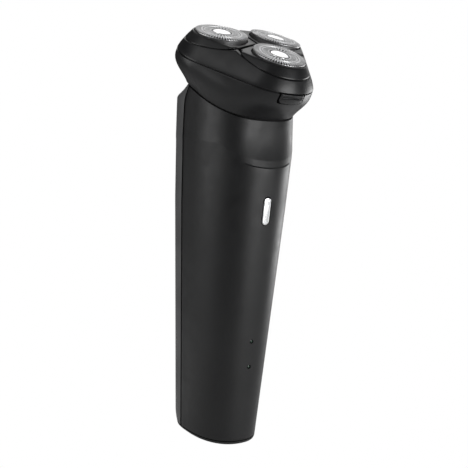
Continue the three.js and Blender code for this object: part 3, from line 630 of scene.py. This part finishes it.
def finish_piece(obj, body, slot_name, stands_for=(), material=None):
    obj.data.materials.clear()
    obj.data.materials.append(material or MATERIALS[slot_name])
    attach(obj, body)
    if stands_for:
        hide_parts(*stands_for)
    return obj


# ---------- handle ----------
EDGE = 0.22  # radius of the moulded edges


def split_angle(z, shift):
    """The angle, on the right-hand side, at which the outline crosses the split line moved by shift."""
    share = np.clip((split_line(z) + shift) / rear_depth(z), 0, 0.999)
    return np.arcsin(share ** (REAR_EXPONENT / 2))


def outline_run(start, end, z):
    """Finely spaced angles from start to end, and how far along the outline each one is."""
    angle = np.linspace(start, end, 60001)
    outline = handle_point(angle, np.full(angle.shape, float(z)))
    return angle, np.concatenate([[0], np.cumsum(np.linalg.norm(np.diff(outline, axis=0), axis=1))])


def even_shares(start, end, z, step, fillet):
    """Shares of the turn that stand evenly along the outline, and their edge rounding."""
    angle, run = outline_run(start, end, z)
    steps = edge_steps(run[-1], step, fillet)
    shares = (np.interp(steps, run, angle) - start) / (end - start)
    return shares, rounding(steps, run[-1], fillet)


def handle_panel(name, in_front):
    """The front shell or the rear cover: one half of the handle's skin, with rounded edges."""
    shift = -SPLIT_GAP / 2 if in_front else SPLIT_GAP / 2
    reference = 100.0  # the height at which the columns are spaced

    def ends(z):
        side = split_angle(z, shift)
        return (-math.pi - side, side) if in_front else (side, math.pi - side)

    shares, side_rounding = even_shares(*ends(np.array(reference)), reference, 0.9, EDGE)
    lower = edge_steps(CREASE - SHELL_BOTTOM, 1.6, EDGE, True, False)
    upper_length = NECK_Z - CREASE
    upper = edge_steps(upper_length, 0.35, EDGE, False, True)
    rows = []
    for distance in lower[:-1]:
        rows.append((SHELL_BOTTOM + distance, 0.0, rounding(distance, 99, EDGE, True, False)))
    for distance in upper:
        part = distance / upper_length
        rows.append((CREASE, part, rounding(distance, upper_length, EDGE, False, True)))
    outer, inner = [], []
    for base, part, row_rounding in rows:
        z = np.full(shares.shape, float(base))
        for _ in range(4):
            start, end = ends(z)
            angle = start + (end - start) * shares
            top = neck_point(angle)[:, 2]
            z = base + (top - CREASE) * part
        inner_top = neck_point(angle, WALL)[:, 2]
        draw_in = np.maximum(side_rounding, row_rounding)
        outer.append(handle_point(angle, z, draw_in, crease_rise(z)))
        inner.append(handle_point(angle, base + (inner_top - CREASE) * part, WALL, crease_rise(z)))
    return curved_plate(name, np.array(outer), np.array(inner))


def capsule_ring(width, length, depth, count=24):
    """A slot outline standing in the panel's XZ plane, this deep into the panel."""
    radius = width / 2
    reach = length / 2 - radius
    top = np.linspace(0, math.pi, count)
    bottom = np.linspace(math.pi, 2 * math.pi, count)
    x = radius * np.cos(np.concatenate([top, bottom]))
    z = radius * np.sin(np.concatenate([top, bottom])) + np.repeat([reach, -reach], count)
    return points_of(x, depth, z + BUTTON_Z)


def front_shell():
    shell = handle_panel("shell_front", True)
    mouth = [(-1.0, 1.15), (0.15, 0.0), (4.0, 0.0)]
    keyhole = loft("keyhole", [
        capsule_ring(BUTTON_WIDTH + 2 * (GAP + grow), BUTTON_LENGTH + 2 * (GAP + grow), depth)
        for depth, grow in mouth
    ], PANEL)
    lamps = [rod(0.85, (0, -3, z), (0, 4, z), 32, PANEL) for z in LAMP_HEIGHTS.values()]
    combine(shell, "DIFFERENCE", [keyhole, *lamps])
    finish_piece(smooth(shell), "handle", "shell_plastic", ["front_shell"])


def rear_cover():
    cover = finish_piece(smooth(handle_panel("cover_rear", False)), "handle", "rear_plastic", ["rear_cover"])
    # The cover's faces that look forward into the joint's gap get near-black painted shade in place of the
    # groove's shadow.
    cover.data.materials.append(SEAM_PAINTED_SHADE)
    for face in cover.data.polygons:
        face.material_index = int(face.normal.y < -0.3)


def base_cap():
    fine_angle, run = outline_run(0, 2 * math.pi, 10.0)
    angle = np.interp(np.linspace(0, 1, 221)[:-1], run / run[-1], fine_angle)
    quarter = np.linspace(0, math.pi / 2, 8)
    rounding_rows = [(0.8 * (1 - math.sin(t)), 1.2 * (1 - math.cos(t))) for t in quarter]
    plug = WALL + GAP
    rounder_behind = 1.6 + np.sin(angle)
    profile = [(3.8, 0), *rounding_rows]
    rows = [(inset * rounder_behind, height) for inset, height in profile]
    rows += [(plug, SHELL_BOTTOM - GAP), (plug, 4.5), (plug + 1.5, 4.5), (plug + 1.5, 2.2)]
    rings = [handle_point(angle, np.full(angle.shape, float(height)), inset) for inset, height in rows]
    body = loft("cap_base", rings)
    inlet = loft("inlet", [slot_ring(3.8, 9.5, z) for z in (-1, 6)])
    collar = loft("collar", [slot_ring(6, 11.8, z) for z in (2.0, 4.5)])
    combine(body, "UNION", [collar])
    combine(body, "DIFFERENCE", [inlet])
    finish_piece(smooth(body), "handle", "shell_plastic", ["base_cap"])


def slot_ring(width, length, z, count=16):
    """A slot outline lying flat, long across the shaver, at the charging inlet's place."""
    radius = width / 2
    reach = length / 2 - radius
    right = np.linspace(-math.pi / 2, math.pi / 2, count)
    left = np.linspace(math.pi / 2, 3 * math.pi / 2, count)
    x = radius * np.cos(np.concatenate([right, left])) + np.repeat([reach, -reach], count)
    y = radius * np.sin(np.concatenate([right, left])) + SOCKET_Y
    return points_of(x, y, z)


def power_button():
    """A slim silver key with a domed face and a small on-off mark."""
    dome = [(-0.35, 0.55), (-0.33, 0.32), (-0.26, 0.14), (-0.12, 0.03), (0.1, 0.0), (2.5, 0.0)]
    flange = [(2.5, -0.9), (3.2, -0.9)]
    rings = [
        capsule_ring(BUTTON_WIDTH - 2 * inset, BUTTON_LENGTH - 2 * inset, depth)
        for depth, inset in dome + flange
    ]
    key = loft("key_power", rings, PANEL)
    combine(key, "UNION", [rod(1, (0, 3, BUTTON_Z), (0, 4.1, BUTTON_Z), 24, PANEL)])
    finish_piece(smooth(key), "power_button", "button_trim", ["power_button"])
    mark_height = BUTTON_Z + BUTTON_LENGTH / 2 - 2.2
    turn = np.linspace(0.75 * math.pi, 2.25 * math.pi, 25)
    mark_ring = arc_band("mark_power_ring", turn, 0.45, 0.62, mark_height)
    front, back = MARK_DEPTHS
    mark_bar = block((-0.08, front, mark_height + 0.05), (0.08, back, mark_height + 0.68), PANEL)
    mark_bar.name = "mark_power_bar"
    for mark in (mark_ring, mark_bar):
        finish_piece(smooth(mark), "power_button", "button_trim", (), MARK_INK)


def arc_band(name, turn, inner, outer, height):
    """A thin printed arc that stands proud of the key's face."""
    front, back = MARK_DEPTHS
    corners = [(inner, front), (outer, front), (outer, back), (inner, back)]
    rows = []
    for angle in turn:
        rows.append([(r * math.cos(angle), y, height + r * math.sin(angle)) for r, y in corners])
    return loft(name, rows, PANEL)


def status_lenses():
    for name, z in LAMP_HEIGHTS.items():
        profile = [(0.02, 0.25), (0.3, 0.25), (0.48, 0.33), (0.55, 0.47), (0.55, 6.6), (0.02, 6.6)]
        turn = PANEL @ Matrix.Translation((0, -0.03, z)) @ Matrix.Rotation(-math.pi / 2, 4, "X")
        lens = lathe(f"lens_{name}", profile, 32, turn)
        finish_piece(smooth(lens), "handle", "lamp_lens", [f"status_lens_{name}"])


# ---------- head ----------
def bowl():
    """The hair chamber: a stepped rim, a floor with the drive's hole, posts and knuckles."""
    angle = around(288)
    height = 12.5
    steps = edge_steps(height, 0.5, BOWL_EDGE)
    full = np.ones(angle.shape)
    rings = [bowl_point(angle, full * (s / height), rounding(s, height, BOWL_EDGE)) for s in steps]
    floor_share = bowl_share_at(angle, BOWL_FLOOR)
    for inset, rise in ((STEP_INSET, 0), (STEP_INSET, STEP_RISE), (WALL, STEP_RISE)):
        rings.append(bowl_point(angle, full, inset) + [0, 0, rise])
    rings += [bowl_point(angle, 1 + (floor_share - 1) * part, WALL) for part in np.linspace(0, 1, 9)]
    floor_edge = rings[-1]
    rings.append(ring_at(DRIVE_HOLE, angle, floor_edge[:, 2]))
    bottom = rings[0][:, 2]
    rings.append(ring_at(DRIVE_HOLE, angle, bottom))
    body = hoop("bowl_hair_chamber", rings, HEAD)
    room = LID_HALF + GAP
    combine(body, "DIFFERENCE", [notch_tool(), hinge_rod(BARREL_RADIUS + GAP, -room, room, 32)])
    posts = [post_at(turn, POST_RADIUS, BOWL_FLOOR - 1, -19.2) for turn in POST_TURNS]
    near, far = BOWL_KNUCKLE
    combine(body, "UNION", posts + [knuckle(side * near, side * far, -1) for side in (-1, 1)])
    bores = [post_at(turn, POST_BORE, BOWL_FLOOR - 0.5, -10) for turn in POST_TURNS]
    combine(body, "DIFFERENCE", bores + [hinge_bore()])
    finish_piece(smooth(body), "handle", "head_plastic", ["hair_chamber"])


def post_at(turn, radius, bottom, top):
    x, y = POST_DISTANCE * math.cos(turn * DEGREE), POST_DISTANCE * math.sin(turn * DEGREE)
    return rod(radius, (x, y, bottom), (x, y, top), 24, HEAD)


def hinge_rod(radius, start, end, count):
    """A round bar along the lid's hinge."""
    return rod(radius, (start, HINGE_Y, HINGE_HEIGHT), (end, HINGE_Y, HINGE_HEIGHT), count, HEAD)


def hinge_bore():
    return hinge_rod(HINGE_PIN_RADIUS + GAP / 2, -20, 20, 24)


def knuckle(start, end, foot):
    """A hinge barrel with a foot that reaches down into the bowl (-1) or up into the lid (1)."""
    barrel = hinge_rod(BARREL_RADIUS, start, end, 40)
    low, high = sorted([HINGE_HEIGHT + foot * 3, HINGE_HEIGHT + foot * 0.5])
    x0, x1 = sorted([start, end])
    combine(barrel, "UNION", [block((x0, HINGE_Y - 2.4, low), (x1, HINGE_Y - 0.4, high), HEAD)])
    return barrel


def notch_ring(half, bottom, corner, y):
    """The release button's outline: straight sides, two rounded lower corners, open at the top."""
    turn = np.linspace(0, math.pi / 2, 9)
    left_x = -half + corner * (1 - np.cos(turn))
    left_z = bottom + corner * (1 - np.sin(turn))
    x = np.concatenate([[-half], left_x, -left_x[::-1], [half]])
    z = np.concatenate([[0], left_z, left_z[::-1], [0]])
    return points_of(x, y, z)


def notch_tool():
    return loft("notch", [notch_ring(NOTCH_HALF, NOTCH_BOTTOM, 1.8, y) for y in (-45, -22)], HEAD)


def bowl_front(x, height):
    """How far forward the bowl's skin is at this x and height, near the front corner."""
    low, high = np.full(x.shape, -140 * DEGREE), np.full(x.shape, -40 * DEGREE)
    for _ in range(40):
        angle = (low + high) / 2
        left_of = bowl_point(angle, bowl_share_at(angle, height))[..., 0] < x
        low, high = np.where(left_of, angle, low), np.where(left_of, high, angle)
    return bowl_point(angle, bowl_share_at(angle, height))[..., 1]


def release_button():
    """The lid catch's button: its face scoops in to an arched finger ledge and rounds away below."""
    half, bottom, top, corner = CATCH_HALF, NOTCH_BOTTOM + GAP, BOWL_TOP - 0.1, 1.7
    across = edge_steps(2 * half, 0.22, BOWL_EDGE) - half
    side_rounding = rounding(across + half, 2 * half, BOWL_EDGE)
    past = np.clip(np.abs(across) - (half - corner), 0, corner)
    lower_edge = bottom + corner - np.sqrt(corner**2 - past**2)
    ledge = bottom + LEDGE_HEIGHT - 0.6 * (across / half) ** 2
    above = ledge + LEDGE_STEPS[-1][0]
    in_middle = blend_in(np.abs(across), half - 0.3, half - 1.6)
    rows = []
    for part in edge_steps(1, 0.08, 0.12, True, False):
        height = lower_edge + (ledge - lower_edge) * part
        rows.append((height, rounding(part * LEDGE_HEIGHT, 9, BOWL_EDGE, True, False), 0.0))
    for rise, depth_share in LEDGE_STEPS:
        rows.append((ledge + rise, 0.0, depth_share))
    for part in edge_steps(1, 0.1, 0.2, False, True)[1:]:
        drawn_in = rounding(1.5 * part, 1.5, BOWL_EDGE, False, True)
        rows.append((above + (top - above) * part, drawn_in, (1 - part) ** 1.5))
    outer, inner = [], []
    for height, row_rounding, depth_share in rows:
        scooped = LEDGE_DEPTH * depth_share * in_middle
        proud = LEDGE_PROUD * blend_in(height, top, ledge)
        y = bowl_front(across, height)
        drawn_in = np.maximum(side_rounding, row_rounding)
        outer.append(points_of(across, y + drawn_in + scooped - proud, height))
        inner.append(points_of(across, y + NOTCH_DEPTH, height))
    button = curved_plate("catch_button", np.array(outer), np.array(inner), HEAD)
    finish_piece(smooth(button, 60), "release_button", "head_plastic", ["release_button"])


def lid():
    """The hinged head frame: a wavy wall, a floor with three windows, posts, catch and knuckle."""
    angle = around(360)
    top = seam_height(angle, FRONT_CORNER) - SEAM_GAP
    tall = 8.0
    steps = edge_steps(tall, 0.5, LID_EDGE)
    rings = []
    for step in steps:
        height = RIM_HEIGHT + (top - RIM_HEIGHT) * step / tall
        reach = head_reach(angle, height, FRONT_CORNER) - rounding(step, tall, LID_EDGE)
        rings.append(ring_at(reach, angle, height))
    for part in np.linspace(1, 0, 6):
        height = RIM_HEIGHT + (top - RIM_HEIGHT) * part
        reach = head_reach(angle, height, FRONT_CORNER) - WALL
        rings.append(ring_at(reach, angle, height))
    wall = hoop("lid_frame", rings, HEAD)
    floor_top = RIM_HEIGHT + 1.5
    levels = (RIM_HEIGHT + 0.02, floor_top)
    floor = loft("floor", [ring_at(head_reach(angle, z, FRONT_CORNER) - 1, angle, z) for z in levels], HEAD)
    places = [(WINDOW_DISTANCE * math.cos(a), WINDOW_DISTANCE * math.sin(a)) for a in SECTORS.values()]
    windows = [rod(WINDOW_RADIUS, (x, y, -20), (x, y, 0), 72, HEAD) for x, y in places]
    combine(floor, "DIFFERENCE", windows)
    posts = [pivot_post(a, side, floor_top) for a in SECTORS.values() for side in (-1, 1)]
    catch = block((-2, -26, -12.6), (2, -24.9, -9), HEAD)
    combine(wall, "UNION", [floor, *posts, catch])
    near, far = BOWL_KNUCKLE[0] - GAP, BOWL_KNUCKLE[1] + GAP
    clear = [hinge_rod(BARREL_RADIUS + GAP, side * near, side * far, 40) for side in (-1, 1)]
    combine(wall, "DIFFERENCE", clear)
    combine(wall, "UNION", [knuckle(-LID_HALF, LID_HALF, 1)])
    combine(wall, "DIFFERENCE", [hinge_bore()])
    finish_piece(smooth(wall), "lid", "head_plastic", ["head_frame"])


def pivot_post(angle, side, floor_top):
    distance, height, pin_radius = POD_PIN
    turn = HEAD @ Matrix.Rotation(angle, 4, "Z")
    y0, y1 = sorted([side * 13.1, side * 14.7])
    post = block((distance - 1.4, y0, floor_top - 0.5), (distance + 1.4, y1, height + 1.2), turn)
    bearing = rod(pin_radius + 0.2, (distance, side * 12, height), (distance, side * 16, height), 24, turn)
    return combine(post, "DIFFERENCE", [bearing])


def pod_reach(turn, height, inset, middle):
    """Distance from a cap's axis out to the pod's edge, which is its outer side or the gap beside it."""
    near, far = np.full(turn.shape, 4.0), np.full(turn.shape, 45.0)
    for _ in range(45):
        reach = (near + far) / 2
        x, y = middle + reach * np.cos(turn), reach * np.sin(turn)
        angle = np.arctan2(y, x)
        tip_inset = 2.4 * blend_in(np.abs(angle), 51.5 * DEGREE, 54.5 * DEGREE)
        to_side = head_reach(angle, height, 0.0) - tip_inset - np.hypot(x, y)
        to_gap = x * math.sin(math.pi / 3) - np.abs(y) / 2 - POD_GAP / 2
        softness = 1.0
        mix = np.clip(0.5 + 0.5 * (to_gap - to_side) / softness, 0, 1)
        clear = to_gap * (1 - mix) + to_side * mix - softness * mix * (1 - mix)
        inside = clear > inset
        near, far = np.where(inside, reach, near), np.where(inside, far, reach)
    return (near + far) / 2


def pod_top(x, y):
    """Height of a pod's top face: highest towards the head's middle, turning down at the edge."""
    share = np.hypot(x, y) / head_reach(np.arctan2(y, x), CROWN_HEIGHT, 0.0)
    slope = 0.2 * np.clip((share - 0.5) / 0.45, 0, 1)
    return POD_TOP - slope - 0.25 * np.clip((share - 0.95) / 0.05, 0, 1) ** 2


def axis_at(height):
    """Where a cap's leaning axis is at this height, along its corner."""
    return CAP_DISTANCE + math.tan(CAP_LEAN) * height


def pod(name, corner):
    """The body that carries one cap, built with its corner along +X."""
    turn = around(288)
    fillet = 0.4

    def ring(reach, height):
        return ring_at(reach, turn, height, axis_at(height))

    def edge_ring(inset, height):
        return ring(pod_reach(turn, height, inset, axis_at(height)), height)

    def on_top(reach, drop):
        x, y, _ = ring(reach, CROWN_HEIGHT).T
        return ring(reach, pod_top(x, y) - drop)

    edge = edge_ring(fillet, CROWN_HEIGHT)
    edge_top = pod_top(edge[:, 0], edge[:, 1])
    edge_angle = np.abs(np.arctan2(edge[:, 1], edge[:, 0]))
    full_radius = edge_ring(0, CROWN_HEIGHT)
    between = 1 - np.abs(np.cos(1.5 * edge_angle))
    seam = seam_height(edge_angle, 0.0) + SEAM_GAP + 0.5 * between
    tip = blend_in(edge_angle, 54.5 * DEGREE, 57.5 * DEGREE)
    beside = blend_in(np.hypot(full_radius[:, 0], full_radius[:, 1]), 17.5, 16.0)
    deep_bottom = seam + (POD_DEEP_BOTTOM - seam) * np.maximum(tip, beside)
    side_bottom = np.minimum(deep_bottom, edge_top - fillet - 0.12)

    rings = [ring(11.6, POD_UNDERSIDE), ring(11.6, -3.0), ring(BORE_RADIUS, -3.0)]
    for reach_more, drop in ((0, 0.35), (0.05, 0.15), (0.16, 0.04)):
        rings.append(on_top(BORE_RADIUS + reach_more, drop))
    out = pod_reach(turn, CROWN_HEIGHT, fillet, axis_at(CROWN_HEIGHT))
    start = BORE_RADIUS + 0.35
    for part in np.linspace(0, 1, 9):
        rings.append(on_top(start + (np.maximum(out, start + 0.05) - start) * part, 0))
    for inset, drop in ((0.19, 0.06), (0.06, 0.18), (0.0, fillet)):
        rings.append(edge_ring(inset, edge_top - drop))
    for part in np.linspace(0, 1, 15)[1:]:
        height = edge_top - fillet + (side_bottom - edge_top + fillet) * part
        rings.append(edge_ring(0.16 if part == 1 else 0.0, height))
    lowest = np.minimum(12.4, pod_reach(turn, side_bottom, 0.3, axis_at(-4)))
    rings.append(ring(lowest, side_bottom - 0.01))
    rings.append(ring(12.3, POD_UNDERSIDE))
    place = HEAD @ Matrix.Rotation(corner, 4, "Z")
    body = hoop(f"pod_body_{name}", rings, place)
    distance, height, radius = POD_PIN
    ends = [((distance, side * 11.8, height), (distance, side * 15, height)) for side in (-1, 1)]
    combine(body, "UNION", [rod(radius, start, end, 24, place) for start, end in ends])
    finish_piece(smooth(body, 40), f"pod_{name}", "head_plastic", [f"pod_{name}"])


# ---------- shaving caps ----------
SLOT_CELLS = 360


def cap_place(corner):
    turned = HEAD @ Matrix.Rotation(corner, 4, "Z") @ Matrix.Translation((CAP_DISTANCE, 0, 0))
    return turned @ Matrix.Rotation(CAP_LEAN, 4, "Y")


def cap_profile():
    """Radius, height and the track whose slots open there, from the middle out and down the skirt."""
    rows = [(3.3, -0.9, ""), (3.95, -0.86, ""), (4.1, -0.7, ""), (4.15, -0.12, ""), (4.3, 0.0, "")]
    rows += [(radius, 0.0, "inner") for radius in (4.65, 5.35, 6.1)]
    rows += [(6.8, 0.0, ""), (7.25, 0.0, ""), (7.3, -0.14, ""), (7.36, -0.3, "")]
    rows += [(7.64, -0.3, ""), (7.7, -0.14, ""), (7.75, 0.0, "")]
    rows += [(radius, 0.0, "outer") for radius in (8.4, 9.2, 9.95)]
    rows += [(10.35, -0.06, "outer"), (10.6, -0.2, "outer"), (10.74, -0.42, "")]
    rows += [(10.75, -0.6, ""), (10.66, -0.78, ""), (10.48, -0.92, "")]
    return rows + [(10.42, -1.1, ""), (10.42, -3.4, ""), (11.3, -3.45, ""), (11.3, -4.2, "")]


def inner_profile(profile, thickness):
    """The same line one wall thickness inside."""
    line = np.array([(radius, height) for radius, height, _ in profile])
    step = np.gradient(line, axis=0)
    normal = np.stack([step[:, 1], -step[:, 0]], axis=1)
    normal /= np.linalg.norm(normal, axis=1)[:, None]
    return line + normal * thickness


def slot_is_open(track, cell):
    """Outer slots: 60 round the rim. Inner slots: 30 round the hub."""
    if track == "outer":
        return cell % 6 < 3
    return track == "inner" and cell % 12 < 6


def shaving_cap(name, corner):
    """A pierced steel foil: two slotted tracks, a groove between them and a plain skirt."""
    profile = cap_profile()
    rows = len(profile)
    outer_line = np.array([(radius, height) for radius, height, _ in profile])
    lines = np.concatenate([outer_line, inner_profile(profile, 0.3)])
    turn = around(SLOT_CELLS)
    points = np.array([points_of(r * np.cos(turn), r * np.sin(turn), h) for r, h in lines])
    tracks = [track for _, _, track in profile[:-1]]
    solid = np.array([[not slot_is_open(track, j) for j in range(SLOT_CELLS)] for track in tracks])
    under = rows * SLOT_CELLS
    faces = []
    for i in range(rows - 1):
        for j in range(SLOT_CELLS):
            if not solid[i, j]:
                continue
            right = (j + 1) % SLOT_CELLS
            a, b = i * SLOT_CELLS + j, i * SLOT_CELLS + right
            c, d = a + SLOT_CELLS, b + SLOT_CELLS
            faces += [(a, c, d, b), (a + under, b + under, d + under, c + under)]
            sides = [(i == 0 or not solid[i - 1, j], a, b), (i == rows - 2 or not solid[i + 1, j], d, c),
                     (not solid[i, j - 1], c, a), (not solid[i, right], b, d)]
            faces += [(p, q, q + under, p + under) for is_open, p, q in sides if is_open]
    cap = new_object(f"cap_{name}", points, faces, cap_place(corner))
    loose = bmesh.new()
    loose.from_mesh(cap.data)
    bmesh.ops.delete(loose, geom=[v for v in loose.verts if not v.link_faces], context="VERTS")
    loose.to_mesh(cap.data)
    loose.free()
    finish_piece(smooth(cap), f"cap_{name}", "cap_steel", [f"shaving_cap_{name}"])


def cap_hub(name, corner):
    """The polished disc in a cap's middle: a shallow dish inside a rounded lip."""
    profile = [(0.02, -0.1), (0.9, -0.09), (1.7, -0.04), (2.3, 0.03), (2.75, 0.08), (3.1, 0.09)]
    profile += [(3.4, 0.04), (3.6, -0.08), (3.7, -0.25), (3.7, -0.45), (0.02, -0.45)]
    hub = lathe(f"hub_{name}", profile, 96, cap_place(corner))
    finish_piece(smooth(hub, 50), f"cap_{name}", "hub_steel", [f"cap_hub_{name}"])


# ---------- everything else ----------
FLOOR_REACH = 2500
FLOOR_GLOW = 0.35
FILL_STRENGTH = 0.04


def paint_cad_nodes():
    """The works inside keep their CAD shapes and get the slot's material; the cutters get dark steel with
    painted shade for the shadow under the foils.
    """
    slots = slot_of_nodes()
    for name, obj in frame["nodes"].items():
        obj.data.materials.clear()
        # Cutters get the steel darkened with painted shade.
        obj.data.materials.append(CUTTER_PAINTED_SHADE if name.startswith("cutter") else MATERIALS[slots[name]])


def area_light(name, place, target, size, energy):
    data = bpy.data.lights.new(name, "AREA")
    data.shape = "RECTANGLE"
    data.size, data.size_y = size
    data.energy = energy
    light = bpy.data.objects.new(name, data)
    light.location = place
    light.visible_camera = False
    light.rotation_mode = "QUATERNION"
    light.rotation_quaternion = (Vector(target) - Vector(place)).to_track_quat("-Z", "Y")
    bpy.context.scene.collection.objects.link(light)


def pale_floor(reach):
    """A pale matt floor that the camera sees as white paper, with a soft glow within reach of the shaver."""
    material, nodes, links, shader = new_material("pale_floor")
    place = nodes.new("ShaderNodeTexCoord").outputs["Object"]
    cloud = noise(nodes, links, place, 3, 2)
    tone = two_tone(nodes, links, cloud, (0.34, 0.34, 0.34), (0.38, 0.38, 0.38))
    links.new(tone, shader.inputs["Base Color"])
    give(shader, {"Roughness": 0.9, "Emission Color": (1, 1, 1, 1)})
    nearness = add(nodes, "ShaderNodeTexGradient", gradient_type="SPHERICAL")
    spread = add(nodes, "ShaderNodeMapping", {"Scale": (1 / reach, 1 / reach, 1)})
    links.new(place, spread.inputs["Vector"])
    links.new(spread.outputs["Vector"], nearness.inputs["Vector"])
    glow = remap(nodes, links, nearness.outputs["Fac"], 0.02, FLOOR_GLOW, 0.1, 0.8)
    links.new(glow, shader.inputs["Emission Strength"])
    paper = add(nodes, "ShaderNodeEmission", {"Strength": 1.0})
    surface = nodes["Material Output"].inputs["Surface"]
    split_view(nodes, links, shader.outputs["BSDF"], paper.outputs["Emission"], surface)
    return material


def split_view(nodes, links, for_light, for_camera, surface):
    """Shows one shader to the camera, and another to everything else."""
    chooser = nodes.new("ShaderNodeMixShader")
    is_camera = nodes.new("ShaderNodeLightPath").outputs["Is Camera Ray"]
    for output, socket in ((is_camera, "Fac"), (for_light, 1), (for_camera, 2)):
        links.new(output, chooser.inputs[socket])
    links.new(chooser.outputs["Shader"], surface)


def studio(low, high):
    """White background, pale floor and soft boxes, placed by the object's own size."""
    middle = (low + high) / 2
    tall = high.z - low.z
    corners = np.array([-1, 1, 1, -1]) * FLOOR_REACH, np.array([-1, -1, 1, 1]) * FLOOR_REACH
    floor = new_object("floor", points_of(*corners, np.full(4, -GAP)), [(0, 1, 2, 3)])
    floor.data.materials.append(pale_floor(2.5 * tall))
    boxes = {
        "box_back": ((1.7, 1.7, 2.0), (3.0, 3.0), 0.9),
        "box_right": ((1.7, 0.1, -0.05), (1.0, 1.2), 0.6),
        "box_front": ((0.8, -3.2, 0.1), (2.2, 2.2), 3.2),
        "box_left": ((-3.0, 1.2, 0.2), (2.4, 2.0), 1.2),
        "box_left_up": ((-2.2, -0.3, 1.9), (2.0, 1.4), 0.45),
        "box_top": ((0.4, 1.4, 3.2), (2.6, 2.6), 0.4),
    }
    for name, (place, size, energy) in boxes.items():
        area_light(name, middle + Vector(place) * tall, middle, Vector(size) * tall, energy)
    world = bpy.data.worlds.new("studio")
    world.use_nodes = True
    nodes, links = world.node_tree.nodes, world.node_tree.links
    nodes.clear()
    seen = add(nodes, "ShaderNodeBackground", {"Color": (1, 1, 1, 1), "Strength": 1.0})
    fill = add(nodes, "ShaderNodeBackground", {"Color": (1, 1, 1, 1), "Strength": FILL_STRENGTH})
    surface = nodes.new("ShaderNodeOutputWorld").inputs["Surface"]
    split_view(nodes, links, fill.outputs["Background"], seen.outputs["Background"], surface)
    bpy.context.scene.world = world
    bpy.context.scene.view_settings.view_transform = "Standard"


def camera():
    """A long lens, seen from the front left and a little above, with the shaver leaning in the frame."""
    azimuth, elevation, roll = -33.97 * DEGREE, 9.23 * DEGREE, 4.04 * DEGREE
    distance, middle_height = 0.4033, 0.08596
    right = Vector((math.cos(azimuth), math.sin(azimuth), 0))
    level = math.cos(elevation)
    back = Vector((math.sin(azimuth) * level, -math.cos(azimuth) * level, math.sin(elevation)))
    up = back.cross(right)
    aim_depth, aim_aside = 0.0042, 0.002305
    target = Vector((0, aim_depth, middle_height)) + right * aim_aside
    turned_right = right * math.cos(roll) + up * math.sin(roll)
    turned_up = up * math.cos(roll) - right * math.sin(roll)
    data = bpy.data.cameras.new("camera")
    data.sensor_width = 36
    data.lens = 72.5
    data.shift_x = 0.0117
    data.shift_y = -0.0015
    data.clip_start = 0.02
    obj = bpy.data.objects.new("camera", data)
    rotation = Matrix((turned_right, turned_up, back)).transposed().to_4x4()
    obj.matrix_world = Matrix.Translation(target + back * distance) @ rotation
    bpy.context.scene.collection.objects.link(obj)
    bpy.context.scene.camera = obj


paint_cad_nodes()
front_shell()
rear_cover()
base_cap()
power_button()
status_lenses()
bowl()
release_button()
lid()
for sector, sector_angle in SECTORS.items():
    pod(sector, sector_angle)
    shaving_cap(sector, sector_angle)
    cap_hub(sector, sector_angle)
studio(cad_low, cad_high)
camera()
